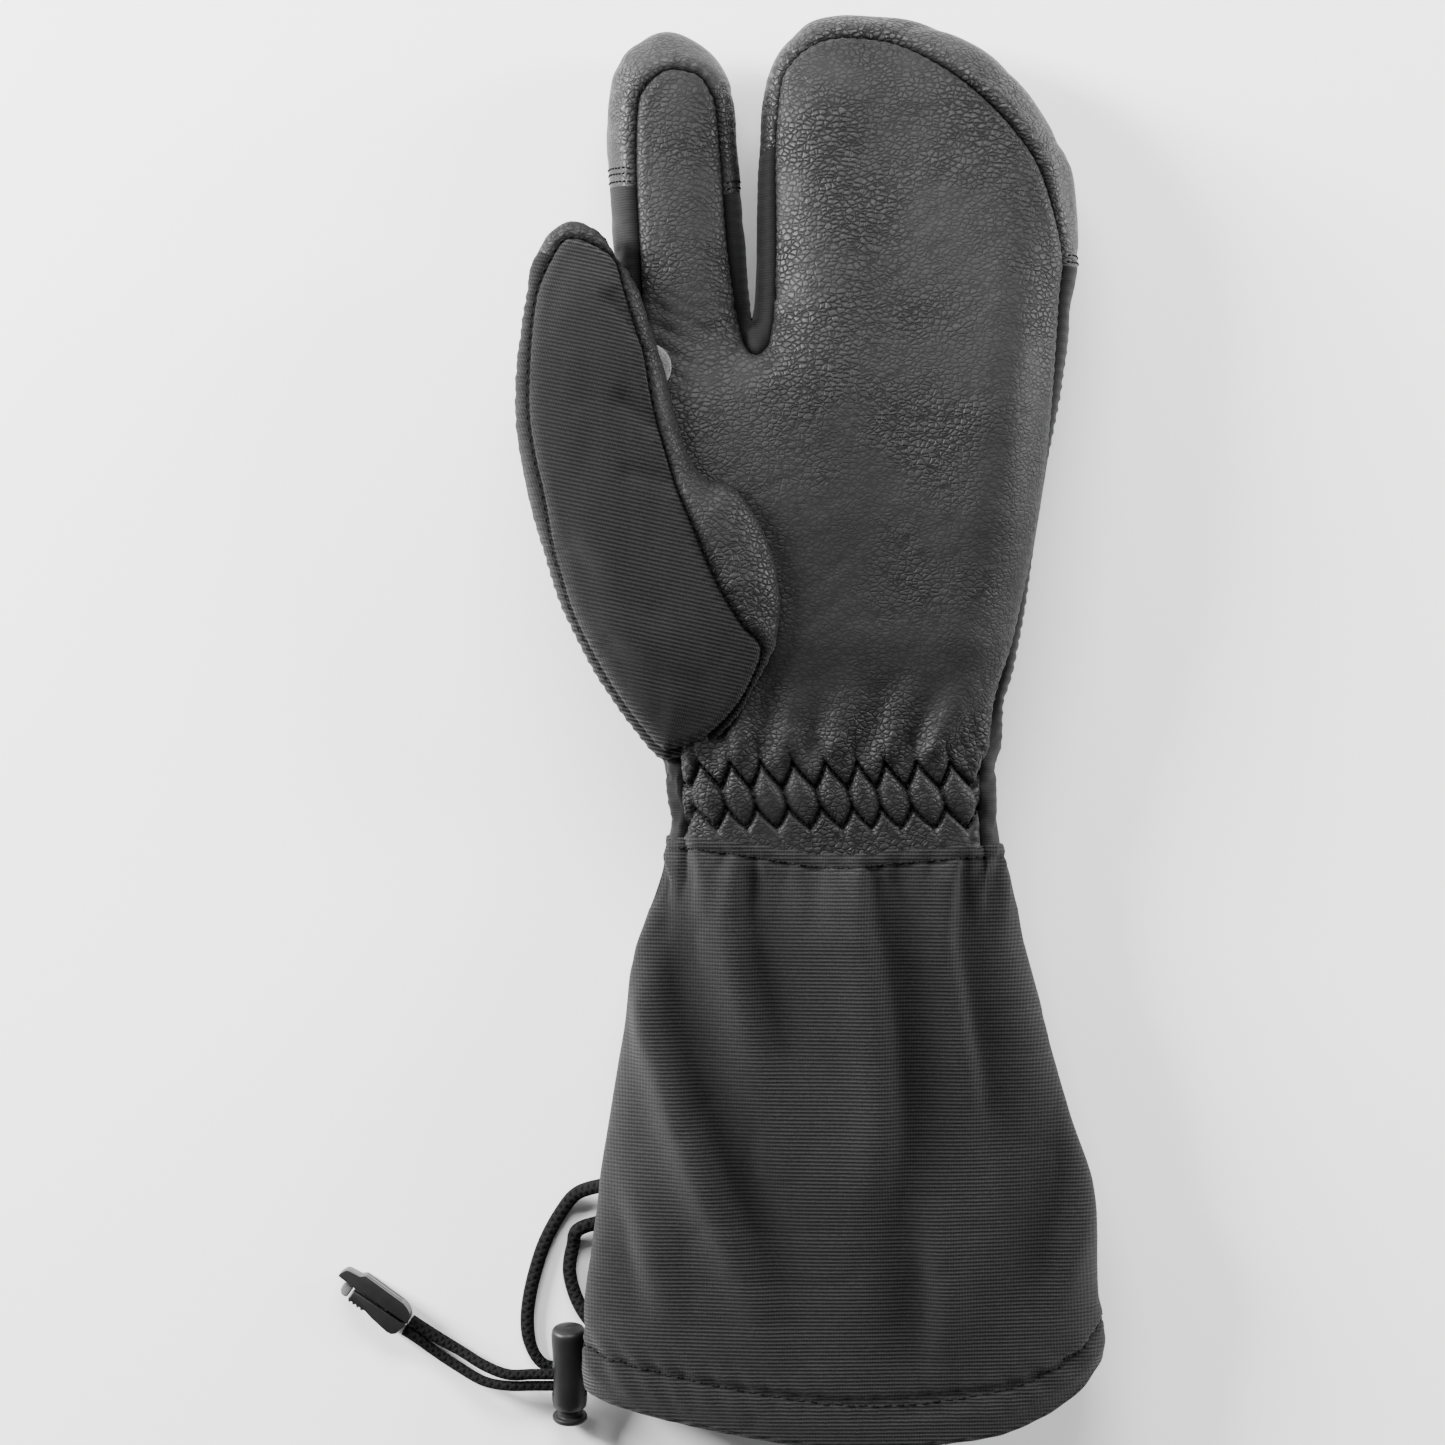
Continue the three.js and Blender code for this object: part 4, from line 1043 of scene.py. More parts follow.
RELIEF_TURN = 0.6  # so that the waves run across no edge squarely


def leather_relief(p):
    """Soft waves and creases of leather over wadding."""
    p = p @ np.array(Matrix.Rotation(RELIEF_TURN, 3, "Z"))
    waves = 0.6 * lumps(p, (34, 44, 60), 1) + 0.22 * lumps(p, (16, 17, 20), 2)
    wrinkles = 0.12 * (ridged(p, (11, 7, 12), 4) - 0.5) + 0.06 * (ridged(p, (5, 3.8, 6), 5) - 0.5)
    return waves + wrinkles


def palm_form(p):
    """How the wadding swells and sinks over the whole palm: centre x, y, width, length and height."""
    height = np.zeros(len(p))
    for x, y, width, length, rise in PALM_SWELLS:
        height += rise * bump(np.hypot((p[:, 0] - x) / width, (p[:, 1] - y) / length), 1)
    return height


def flex_creases(p):
    """Short creases across the root of the index and beside the thumb."""
    at_root = bump(p[:, 0] + 44, 9) * bump(p[:, 1] - 121, 17)
    slanted = p[:, 1] + 0.55 * p[:, 0]
    folds = -0.45 * at_root * np.maximum(np.cos(2 * math.pi * slanted / 5.6 + 2 * lumps(p, 12, 8)), 0) ** 3
    crotch = np.hypot(p[:, 0] - CROTCH[0], p[:, 1] - CROTCH[1])
    turn = np.arctan2(p[:, 1] - CROTCH[1], p[:, 0] - CROTCH[0])
    return folds - 0.8 * bump(crotch - 8.5, 4) * np.maximum(np.cos(7 * turn + 1), 0) ** 2


def hand_relief(p):
    d, along = nearest(p, hand_seam)
    height = seam_relief(d, along) + leather_relief(p) * step(0.5, 9, d) + flex_creases(p)
    wrist = step(44, 30, p[:, 1])
    height += wrist * pleats(p[:, 0], p[:, 1]) - 0.9 * wrist * zigzag_groove(p[:, 0], p[:, 1])
    return height + palm_form(p)


def strip_relief(p, upper):
    d, along = nearest(p, hand_seam)
    side = 0.8 * lumps(p, (20, 26, 20), 6) + 0.5 * (ridged(p, (14, 9, 14), 7) - 0.5)
    gathers = 0.8 * step(36, 24, p[:, 1]) * pleats(p[:, 0] + p[:, 2], p[:, 1])
    return seam_relief(d, along, 0.9) * upper + side * step(0.5, 5, d) + gathers


def paint_hand_shade(p, on_palm):
    """How much shade is painted at each place: in a seam, along the stitched zigzags and between two puffs.
    """
    x, y = p[:, 0], p[:, 1]
    upper, lower, toward = zigzags(x, y)
    pinch = 0.5 * toward**6 * step(upper + 1, upper - 2, y) * step(lower - 1, lower + 2, y)
    above = 0.35 * (1 - toward) ** 6 * bump(np.maximum(y - upper, 0), 7) * (y > upper)
    gathers = np.where(on_palm & (y < 30), 0.75 * zigzag_groove(x, y) ** 2 + pinch + above, 0)
    return 0.96 * bump(nearest(p, hand_seam)[0], 0.7) + gathers


STRIP, PALM, BACK = range(3)  # which part of the hand or the thumb a face is from


def build_hand():
    grid = strip_grid(hand_ribs, hand_upper, hand_lower)
    rows, columns = grid.shape[:2]
    strip_faces = grid_faces(rows, columns)
    edge = smooth_line(LEATHER_EDGE, 1.2)[1:-1]
    across = np.arange(-70, 75, 1.1)
    cut = np.column_stack([across, np.full(len(across), SPLIT_Y)])
    face, palm_faces = filled(np.concatenate([hand_seam, edge]), 1.1, cuts=[cut], dense_below=15)
    palm = np.column_stack([face, hand_upper(face)])
    inset = grid[:, -1, :2]
    back_edge = np.linspace(inset[-1, 0], inset[0, 0], 34)[1:-1]
    back_edge = np.column_stack([back_edge, np.full(len(back_edge), inset[0, 1])])
    under, back_faces = filled(np.concatenate([inset, back_edge]), 2.4, (1.5,), cuts=[cut])
    back_faces = [f[::-1] for f in back_faces]  # they face down
    back = np.column_stack([under, hand_lower(under)])

    points, faces, kind = joined([(grid.reshape(-1, 3), strip_faces), (palm, palm_faces), (back, back_faces)])
    elsewhere = [-1] * (len(faces) - len(strip_faces))
    rib = np.array([f[0] // columns for f in strip_faces] + elsewhere)
    column = np.array([f[0] % columns for f in strip_faces] + elsewhere)
    points, faces, _ = weld(points, faces)

    normals = vertex_normals(points, faces)
    middles = face_middles(points, faces)
    if normals[np.argmax(points[:, 2])][2] < 0:
        faces = [f[::-1] for f in faces]
        normals = -normals
    upper = points[:, 2] > hand_middle(points)
    on_palm = np.zeros(len(points), bool)
    on_palm[sorted({i for f, k in zip(faces, kind) if k == PALM for i in f})] = True
    height = np.where(on_palm, hand_relief(points), strip_relief(points, upper))
    # the shade painted into seams, zigzags and gathers, on the upper side only
    crease = paint_hand_shade(points, on_palm) * upper
    height *= np.where(upper, 1, np.clip(points[:, 2] / 12, 0, 1))
    points = points + normals * height[:, None]
    points[:, 2] = np.maximum(points[:, 2], FLOOR_GAP)
    return points, faces, vertex_normals(points, faces), middles, kind, rib, column, crease


(
    hand_points, hand_faces, hand_normals, hand_middles, face_kind, face_rib, face_column, hand_painted_shade
) = build_hand()
hand_tree = surface_tree(hand_points, hand_faces)


def rib_near(x, y, outline=hand_outline):
    """The number of the rib whose outline point is nearest to x, y."""
    return int(np.argmin(np.hypot(outline[:, 0] - x, outline[:, 1] - y)))


MITT_CAP_START = rib_near(66.5, 144.5)
MITT_CAP_END = rib_near(-19.0, 175.0)
CROTCH_RIB = rib_near(*CROTCH)
INDEX_CAP_START = rib_near(-25.6, 165.0)
INDEX_CAP_END = rib_near(-60.8, 165.5)
RIGHT_SPLIT = rib_near(64.3, SPLIT_Y)
LEFT_SPLIT = rib_near(-58.0, SPLIT_Y)

on_strip = face_kind == STRIP
turned_under = on_strip & (face_column >= STRIP_UPPER + 3)
side = on_strip & ~turned_under
mitt_cap_zone = on_strip & (face_rib >= MITT_CAP_START) & (face_rib < MITT_CAP_END)
index_cap_zone = on_strip & (face_rib >= INDEX_CAP_START) & (face_rib < INDEX_CAP_END)
past_split = hand_middles[:, 1] > SPLIT_Y
strip_on_fingers = on_strip & (face_rib >= RIGHT_SPLIT) & (face_rib < CROTCH_RIB)
strip_on_index = on_strip & (face_rib >= CROTCH_RIB) & (face_rib < LEFT_SPLIT)
strip_on_hand = on_strip & ~strip_on_fingers & ~strip_on_index
palm_face = face_kind == PALM
back_face = face_kind == BACK
right_of_fork = hand_middles[:, 0] > FORK_X


def panel(name, shape, material, nodes):
    """A sewn panel from the faces of a form. The CAD nodes it stands for, its wadding among them, are hidden.
    """
    points, faces, normals, wanted, painted_shade = shape
    piece = thick_piece(name, points, faces, normals, wanted, LEATHER_THICKNESS, material, painted_shade)
    if nodes:
        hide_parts(*nodes)
    return piece


def frame_point(x, y, z=20.0):
    return tuple(to_frame([(x, y, z)])[0])


def ride_wrist(piece):
    frame_point(0, WRIST_BEND[1])
    frame_point(0, WRIST_BEND[0])
    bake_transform(piece)


def ride_fingers(piece):
    frame_point(24, FINGERS_BEND[0])
    frame_point(24, FINGERS_BEND[1])
    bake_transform(piece)


def ride_index(piece):
    frame_point(-41, INDEX_BEND[0])
    frame_point(-41, INDEX_BEND[1])
    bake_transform(piece)


left_half = face_rib >= CROTCH_RIB
fingers_side = strip_on_fingers & ~mitt_cap_zone
index_side = strip_on_index & ~index_cap_zone
# How it moves, name, faces, material, the CAD nodes it stands for and slot.
HAND_PANELS = [
    (
        ride_wrist, "palm_leather_skin", palm_face & ~past_split, leather,
        ["palm_leather", "hand_palm_wadding", "wrist_elastic"], "leather",
    ),
    (
        ride_fingers, "fingers_palm_skin", palm_face & past_split & right_of_fork, leather,
        ["fingers_palm_face", "fingers_palm_wadding"], "leather",
    ),
    (
        ride_index, "index_palm_skin", palm_face & past_split & ~right_of_fork, leather,
        ["index_palm_face", "index_palm_wadding"], "leather",
    ),
    (ride_wrist, "hand_side_right", strip_on_hand & side & ~left_half, softshell, [], "softshell"),
    (ride_wrist, "hand_side_left", strip_on_hand & side & left_half, softshell, [], "softshell"),
    (
        ride_wrist, "hand_back_skin", (back_face & ~past_split) | (strip_on_hand & turned_under), softshell,
        ["hand_back_shell", "hand_back_wadding"], "softshell",
    ),
    (
        ride_fingers, "fingers_side_right", fingers_side & side & (face_rib < MITT_CAP_START), softshell, [],
        "softshell",
    ),
    (
        ride_fingers, "fork_fingers_side", fingers_side & side & (face_rib >= MITT_CAP_END), softshell,
        ["fork_gusset"], "face_fabric",
    ),
    (ride_fingers, "fingers_cap_skin", mitt_cap_zone, cap_leather, ["fingers_tip_cap"], "cap_leather"),
    (
        ride_fingers, "fingers_back_skin",
        (back_face & past_split & right_of_fork) | (fingers_side & turned_under), softshell,
        ["fingers_back_shell", "fingers_back_wadding"], "softshell",
    ),
    (
        ride_index, "fork_index_side", index_side & side & (face_rib < INDEX_CAP_START), softshell, [],
        "face_fabric",
    ),
    (
        ride_index, "index_side_left", index_side & side & (face_rib >= INDEX_CAP_END), softshell, [],
        "softshell",
    ),
    (ride_index, "index_cap_skin", index_cap_zone, cap_leather, ["index_tip_cap"], "cap_leather"),
    (
        ride_index, "index_back_skin",
        (back_face & past_split & ~right_of_fork) | (index_side & turned_under), softshell,
        ["index_back_shell", "index_back_wadding"], "softshell",
    ),
]
for ride, name, wanted, material, nodes, slot in HAND_PANELS:
    ride(panel(name, (hand_points, hand_faces, hand_normals, wanted, hand_painted_shade), material, nodes))


# ---- The thumb --------------------------------------------------------------------------------------------

# The back panel's seam and the thumb's outline round it: panel x, panel y, outline x, outline y.
THUMB_RIBS = [
    (-46.2, 13.2, -46.5, 11.5), (-52.2, 19.6, -53.3, 18.9), (-58, 27.5, -59.2, 27), (-63, 35.6, -64.3, 35),
    (-67.2, 43.5, -68.6, 43), (-70.8, 51.6, -72.4, 51), (-73.3, 60, -75.2, 59.6), (-75.4, 67.5, -77.4, 67.3),
    (-77.6, 80.5, -80.9, 80), (-80.2, 92, -83.3, 91.8), (-81.8, 104, -84.6, 104), (-81.4, 120, -84.2, 119.5),
    (-79.8, 134.5, -82, 134), (-76.3, 143.5, -79.6, 144.5), (-72.5, 149.5, -75.4, 151.6),
    (-68.5, 150.2, -70.5, 154.4), (-63.5, 148.3, -64.5, 152.6), (-58.2, 144.6, -59.6, 147.6),
    (-55.6, 136, -53.2, 137.5), (-52, 124.5, -49.3, 125.5), (-50, 118, -46.9, 119),
    (-47.6, 104, -43.2, 105.5),
    (-43.4, 88.5, -38.2, 90.5), (-41, 81, -33.5, 85.3), (-37.5, 72.5, -27, 83.4), (-33.5, 62.5, -19.6, 73.2),
    (-29, 53.6, -15.1, 60), (-24, 46, -14.9, 47.5), (-19.2, 40.3, -17, 39.4), (-22, 31.4, -21.3, 30.6),
    (-26.3, 24.4, -25.6, 23.4), (-33.5, 17.1, -33, 15.8), (-39.8, 14, -39.6, 12.6),
]
THUMB_ROOT = (-40.0, 30.0)
THUMB_UNDER = 20.0

thumb_ribs = smooth_line(THUMB_RIBS, 1.4, closed=True)
thumb_seam = thumb_ribs[:, :2]
thumb_outline = thumb_ribs[:, 2:]


def thumb_place(p):
    """How far along the thumb from its root each point is, and how far across towards the palm."""
    x, y = p[:, 0] - THUMB_ROOT[0], p[:, 1] - THUMB_ROOT[1]
    s, c = math.sin(THUMB_LEAN), math.cos(THUMB_LEAN)
    return c * y - s * x, c * x + s * y


def thumb_middle(p):
    """The height of the thumb's outline: it rests on the palm on one side and hangs over on the other."""
    along, across = thumb_place(p)
    left = table(along, (-20, 28), (0, 34), (60, 37), (110, 39), (128, 40))
    on_palm = np.clip(hand_upper(p), 36, 47) + 0.3
    right = blend_of(on_palm, 42.0, step(50, 75, along))
    return blend_of(left, right, step(-12, 12, across))


def thumb_upper(p):
    along, _ = thumb_place(p)
    top = table(along, (-15, 43), (0, 51), (20, 55), (60, 56), (90, 55), (110, 51), (125, 45))
    low = thumb_middle(p)
    return low + np.maximum(top - low, 1) * round_off(nearest(p, thumb_outline, closed=True)[0] / 17)


def thumb_lower(p):
    low = thumb_middle(p)
    return low - (low - THUMB_UNDER) * round_off(nearest(p, thumb_outline, closed=True)[0] / 14)


# Short folds of the thumb's back: points along each valley, its depth and its width.
THUMB_FOLDS = [
    ([(-59, 133), (-52, 125)], 1.6, 2.4), ([(-56, 106), (-48, 99.5)], 1.5, 2.6),
    ([(-54, 87), (-44, 84)], 0.9, 2.6), ([(-72, 66), (-60, 55), (-48, 50)], 1.3, 5.0),
    ([(-78, 112), (-70, 105)], 0.8, 4.0),
    ([(-60, 40), (-48, 33), (-36, 31)], 1.0, 4.0),
]


def thumb_folds(p):
    height = np.zeros(len(p))
    for points, depth, width in THUMB_FOLDS:
        height -= depth * bump(nearest(p, smooth_line(points, 2))[0], width)
    return height


def thumb_relief(p):
    d, along = nearest(p, thumb_seam, closed=True)
    in_panel = inside(p, thumb_seam)
    cloth = 0.9 * lumps(p, (22, 30, 40), 11) + 0.35 * (ridged(p, (9, 22, 20), 12) - 0.5)
    hide = 0.45 * lumps(p, (14, 16, 20), 13) + 0.3 * (ridged(p, (6, 6, 6), 14) - 0.5)
    on_panel = cloth * step(1, 10, d) + thumb_folds(p) * step(0.2, 2, d)
    return seam_relief(d, along, 1.0) + np.where(in_panel, on_panel, hide * step(0.5, 3, d))


def build_thumb():
    grid = strip_grid(thumb_ribs, thumb_upper, thumb_lower)
    rows, columns = grid.shape[:2]
    strip_faces = [
        (r * columns + c, r * columns + c + 1, (r + 1) % rows * columns + c + 1, (r + 1) % rows * columns + c)
        for r in range(rows)
        for c in range(columns - 1)
    ]
    upper, upper_faces = filled(thumb_seam, 1.2)
    under, under_faces = filled(grid[:, -1, :2], 2.4, (1.2,))
    points, faces, kind = joined([
        (grid.reshape(-1, 3), strip_faces),
        (np.column_stack([upper, thumb_upper(upper)]), upper_faces),
        (np.column_stack([under, thumb_lower(under)]), [f[::-1] for f in under_faces]),
    ])
    rib = np.array([f[0] // columns for f in strip_faces] + [-1] * (len(faces) - len(strip_faces)))
    points, faces, _ = weld(points, faces)
    bm = bmesh.new()
    for p in points:
        bm.verts.new(p)
    bm.verts.ensure_lookup_table()
    for f in faces:
        bm.faces.new([bm.verts[i] for i in f])
    bmesh.ops.recalc_face_normals(bm, faces=bm.faces)
    bm.faces.ensure_lookup_table()
    faces = [tuple(v.index for v in f.verts) for f in bm.faces]
    bm.free()
    normals = vertex_normals(points, faces)
    top = points[:, 2] >= thumb_middle(points) - 0.01
    height = thumb_relief(points) * np.where(top, 1, 0.3)
    # shade painted along the seam, on the upper side only
    crease = 0.96 * bump(nearest(points, thumb_seam, closed=True)[0], 0.7) * top
    points = points + normals * height[:, None]
    return points, faces, vertex_normals(points, faces), kind, rib, crease


thumb_points, thumb_faces, thumb_normals, thumb_kind, thumb_rib, thumb_painted_shade = build_thumb()
thumb_tree = surface_tree(thumb_points, thumb_faces)


THUMB_TIP = rib_near(-78.5, 147, thumb_outline)
THUMB_HEEL = rib_near(-15.6, 43, thumb_outline)
on_ring = thumb_kind == STRIP
thumb_leather_zone = on_ring & (thumb_rib >= THUMB_TIP) & (thumb_rib < THUMB_HEEL)


def ride_thumb(piece):
    frame_point(-20, 58, 40)
    frame_point(-58, 100, 40)
    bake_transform(piece)


THUMB_PANELS = [
    (
        "thumb_back_skin", thumb_kind == PALM, thumb_weave, ["thumb_back_panel", "thumb_palm_wadding"],
        "face_fabric",
    ),
    (
        "thumb_side_skin", (on_ring & ~thumb_leather_zone) | (thumb_kind == BACK), thumb_weave,
        ["thumb_side_panel", "thumb_back_wadding"], "face_fabric",
    ),
    ("thumb_leather_skin", thumb_leather_zone, leather, ["thumb_leather_face"], "leather"),
]
for name, wanted, material, nodes, slot in THUMB_PANELS:
    shape = (thumb_points, thumb_faces, thumb_normals, wanted, thumb_painted_shade)
    ride_thumb(panel(name, shape, material, nodes))


# ---- The gauntlet -----------------------------------------------------------------------------------------

CUFF_ROWS = 150
CUFF_COLUMNS = 220
CUFF_POWER = 2.2
HEM_DEPTH = 11.5
# How wide and how high the gauntlet is: y, left x, right x, top z.
CUFF_SECTIONS = [
    (-10, -43, 45, 37.5), (-13.5, -43.8, 46, 38.3), (-21.6, -47.2, 49.2, 42), (-29.7, -50.8, 51.6, 44.6),
    (-37.8, -52.4, 52.9, 45.8), (-54, -55.4, 56.7, 47), (-70.2, -58.3, 59.9, 47.8), (-86.4, -61, 63.7, 48),
    (-102.6, -63.7, 67.8, 48), (-118.8, -65.3, 71, 47.4), (-135, -66.2, 72.6, 46.2),
    (-143.1, -66.2, 74, 45.4),
    (-151.2, -66.2, 73.9, 44.6), (-160, -66.2, 73.2, 43.6), (-175, -65.8, 71, 42),
]
HEM = [
    (-80, -152), (-66, -159.3), (-36, -166.8), (4.6, -172.3), (40, -169.8), (56, -165.5), (67, -159),
    (75, -149), (82, -138),
]
hem_line = smooth_line(HEM, 1.0)
leather_edge_line = smooth_line([(-60, -10), *LEATHER_EDGE, (60, -13)], 1.0)


def hem_y(x):
    return np.interp(x, hem_line[:, 0], hem_line[:, 1])


def cuff_at(y, angle, inset=0.0):
    """A point of the gauntlet at y, at an angle from the right side over the top."""
    ys, left, right, top = np.array(CUFF_SECTIONS, float)[::-1].T
    left, right, top = (np.interp(y, ys, v) for v in (left, right, top))
    c, s = np.cos(angle), np.sin(angle)
    sunk = -5.0
    x = (left + right) / 2 + ((right - left) / 2 - inset) * np.sign(c) * np.abs(c) ** (2 / CUFF_POWER)
    z = (top + sunk) / 2 + ((top - sunk) / 2 - inset) * np.sign(s) * np.abs(s) ** (2 / CUFF_POWER)
    return np.stack([x, y, np.maximum(z, FLOOR_GAP + inset)], axis=-1)


def cuff_surface(share, angle, inset=0.0, raise_hem=0.0):
    """share is 0 at the wrist's seam and 1 at the hem, which is curved across the hand."""
    across = cuff_at(np.full(np.shape(angle), -158.0), angle)[..., 0]
    at_wrist = cuff_at(np.full(np.shape(angle), -13.5), angle)[..., 0]
    over = np.sin(angle) > 0
    leather_end = np.interp(at_wrist, leather_edge_line[:, 0], leather_edge_line[:, 1])
    start = np.where(over, leather_end, -12.6) + 0.6
    y = blend_of(start, hem_y(across) + raise_hem, share)
    return cuff_at(y, angle, inset)


# Folds of the gauntlet's palm side: points along the valley from the wrist down, its depth and width, and the
# ridge beside it, which is toward the thumb where it is above 0 and away from it where it is below. The other
# side rises slowly.
CUFF_FOLDS = [
    ([(-49, -14), (-45, -43), (-36, -76), (-26, -102), (-14, -130), (-7, -157)], 4.6, 6.0, 4.0),
    ([(-45.5, -15), (-49, -30), (-52.5, -47), (-57, -75)], 1.3, 4.0, -1.2),
    ([(-22, -14), (-21, -34), (-16, -58), (-8, -82)], 3.4, 5.0, 2.2),
    ([(13, -14), (15, -36), (19, -62), (20, -92), (14, -130)], 3.6, 6.5, 2.8),
    ([(36, -14), (37, -40), (42, -74), (44, -104)], 3.4, 5.5, 2.4),
    ([(57, -66.5), (60, -96), (56, -119.6), (48, -148)], 3.4, 6.0, -2.2),
    ([(-68, -92), (-58, -116), (-50, -148)], 2.4, 6.0, -2.4),
    ([(14, -96), (22, -130), (20, -162)], 2.6, 6.0, -2.2),
]
DEEPEST_FOLD = 4.4
FOLD_SHADE = 0.12  # how much shade is painted into the fabric for each millimetre of a fold's depth
# the most shade that is painted into a fold
DARKEST_FOLD = 0.75


def fold_relief(p):
    """The folds' height, and the shade painted into their valleys."""
    height, shade = np.zeros(len(p)), np.zeros(len(p))
    for points, depth, width, ridge in CUFF_FOLDS:
        line = smooth_line(points, 3)
        d, along = nearest(p, line)
        length = np.linalg.norm(np.diff(line, axis=0), axis=1).sum()
        ahead = np.gradient(line, axis=0)
        at = np.clip((along / length * (len(line) - 1)).astype(int), 0, len(line) - 1)
        away = p[:, :2] - line[at]
        side = np.sign(ahead[at, 0] * away[:, 1] - ahead[at, 1] * away[:, 0]) * d
        start = 8 if points[0][1] > -20 else 34
        fade = step(0, start, along) * step(length, 0.55 * length, along)
        toward_ridge = -side * math.copysign(1, ridge)
        valley = -depth * np.where(toward_ridge > 0, bump(side, 0.8 * width), bump(side, 1.5 * width))
        full = abs(ridge) * bump(toward_ridge - 1.35 * width, width)
        height += (valley + full) * fade
        painted_valley_shade = np.where(toward_ridge > 0, bump(side, 0.7 * width), bump(side, 2 * width))
        shade += FOLD_SHADE * depth * painted_valley_shade * fade
    height = np.where(height < 0, DEEPEST_FOLD * np.tanh(height / DEEPEST_FOLD), height)
    return height, np.minimum(shade, DARKEST_FOLD)


CUFF_LENGTH = 150.0  # about, for places counted up from the hem
SIDE_SEAM = -0.12  # the sine of the angle where the palm's panel meets the back's


def cuff_relief(p, share, angle):
    """The height added to each point, and how much shade is painted on it in a seam, a stitched line or a
    fold.
    """
    over = step(-0.35, 0.35, np.sin(angle))
    x, y = p[:, 0], p[:, 1]
    below = np.interp(x, leather_edge_line[:, 0], leather_edge_line[:, 1]) - y
    phase = puff_phase(x, np.full(len(x), -10.0))
    pleat = 1.3 * np.cos(2 * math.pi * phase + math.pi) * bump(below, 13)
    pleat += 0.6 * np.cos(math.pi * phase + 0.8) * bump(below - 8, 16)
    stitched = bump(below - 2.5, 0.8)
    edge = 1.0 * step(7, 0, below) * step(0.25, 0.7, np.sin(angle)) - 0.9 * stitched
    edge = edge + 0.4 * np.cos(4 * math.pi * phase) * bump(below - 4, 3)
    broad = 2.4 * lumps(p, (44, 60, 50), 21) + 0.9 * lumps(p, (20, 34, 30), 22)
    fine = 0.4 * (ridged(p, (14, 12, 16), 23) - 0.5)
    calm = step(0, 0.12, share)
    to_hem = (1 - share) * CUFF_LENGTH
    hem_line_at = bump(to_hem - HEM_DEPTH, 0.9)
    hem_side = -1.0 * hem_line_at + 0.8 * bump(to_hem - HEM_DEPTH / 2, 3.6)
    slant = x + 0.6 * to_hem + 2 * lumps(p, 16, 24)
    ripple = 0.55 * np.cos(2 * math.pi * slant / 7.4) * bump(to_hem - HEM_DEPTH + 1, 5.5)
    to_side = np.abs(np.sin(angle) - SIDE_SEAM) * 22
    side_line = bump(to_side, 0.9) * (np.abs(np.cos(angle)) > 0.5)
    under = np.where(np.sin(angle) < -0.2, np.clip(p[:, 2] / 12, 0.0, 1), 1)
    height = pleat * step(0.1, 0.6, np.sin(angle)) + edge * step(-0.6, 0.2, np.sin(angle))
    height = height + (broad + fine) * calm * over
    folds, shade = fold_relief(p)
    height += folds * over + hem_side + ripple - 0.8 * side_line
    # shade painted along the hem's stitched line, the side seam and the stitching under the leather
    crease = 0.4 * hem_line_at + 0.9 * side_line + 0.5 * stitched * over
    return height * under, crease + shade * over


RIM_REACH = 24.0  # how far down the gauntlet its edge's fit to the hand is felt
RIM_LIFT = 1.0


def onto_hand(rim):
    """Where the gauntlet's upper edge lies on the hand: the same Y, and just outside the surface."""
    at = []
    for x, y, z in rim:
        hit, normal, _, _ = hand_tree.find_nearest(Vector((x, max(y, -11.5), z)))
        away = Vector((hit.x, 0, hit.z - 18)).normalized()
        out = normal if normal.dot(away) > 0 else -normal
        at.append((hit.x + RIM_LIFT * out.x, y, hit.z + RIM_LIFT * out.z))
    return np.array(at)


def build_cuff():
    angles = np.linspace(0, 2 * math.pi, CUFF_COLUMNS, endpoint=False)
    shares = np.linspace(0, 1, CUFF_ROWS)
    grid = np.stack([cuff_surface(s, angles) for s in shares])
    share = np.repeat(shares, CUFF_COLUMNS)
    angle = np.tile(angles, CUFF_ROWS)
    points = grid.reshape(-1, 3)
    faces = grid_faces(CUFF_ROWS, CUFF_COLUMNS, wrap=True)
    normals = vertex_normals(points, faces)
    if normals[CUFF_ROWS // 2 * CUFF_COLUMNS + CUFF_COLUMNS // 4][2] < 0:
        faces = [f[::-1] for f in faces]
        normals = -normals
    height, crease = cuff_relief(points, share, angle)
    points = points + normals * height[:, None]
    rim = points[:CUFF_COLUMNS]
    pull = onto_hand(rim) - rim
    pull = sum(np.roll(pull, k, axis=0) for k in (-1, 0, 1)) / 3
    down = np.abs(points[:, 1] - np.tile(rim[:, 1], CUFF_ROWS))
    points += np.tile(pull, (CUFF_ROWS, 1)) * step(RIM_REACH, 0, down)[:, None]
    points[:, 2] = np.maximum(points[:, 2], FLOOR_GAP)
    return points, faces, vertex_normals(points, faces), angle, crease


cuff_points, cuff_faces, cuff_normals, cuff_angle, cuff_painted_shade = build_cuff()
cuff_tree = surface_tree(cuff_points, cuff_faces)
over_seam = np.array([np.sin(cuff_angle[list(f)]).mean() > SIDE_SEAM for f in cuff_faces])


def cuff_piece(name, wanted, *nodes):
    piece = thick_piece(name, cuff_points, cuff_faces, cuff_normals, wanted, 1.1, cuff_weave, cuff_painted_shade)
    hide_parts(*nodes)
    ride_wrist(piece)


cuff_piece("gauntlet_palm_skin", over_seam, "gauntlet_palm_panel")
cuff_piece("gauntlet_back_skin", ~over_seam, "gauntlet_back_panel")


# ---- Hem and linings --------------------------------------------------------------------------------------

HEM_ROLL = 1.6  # radius of the folded edge
FACING_INSET = 5.6


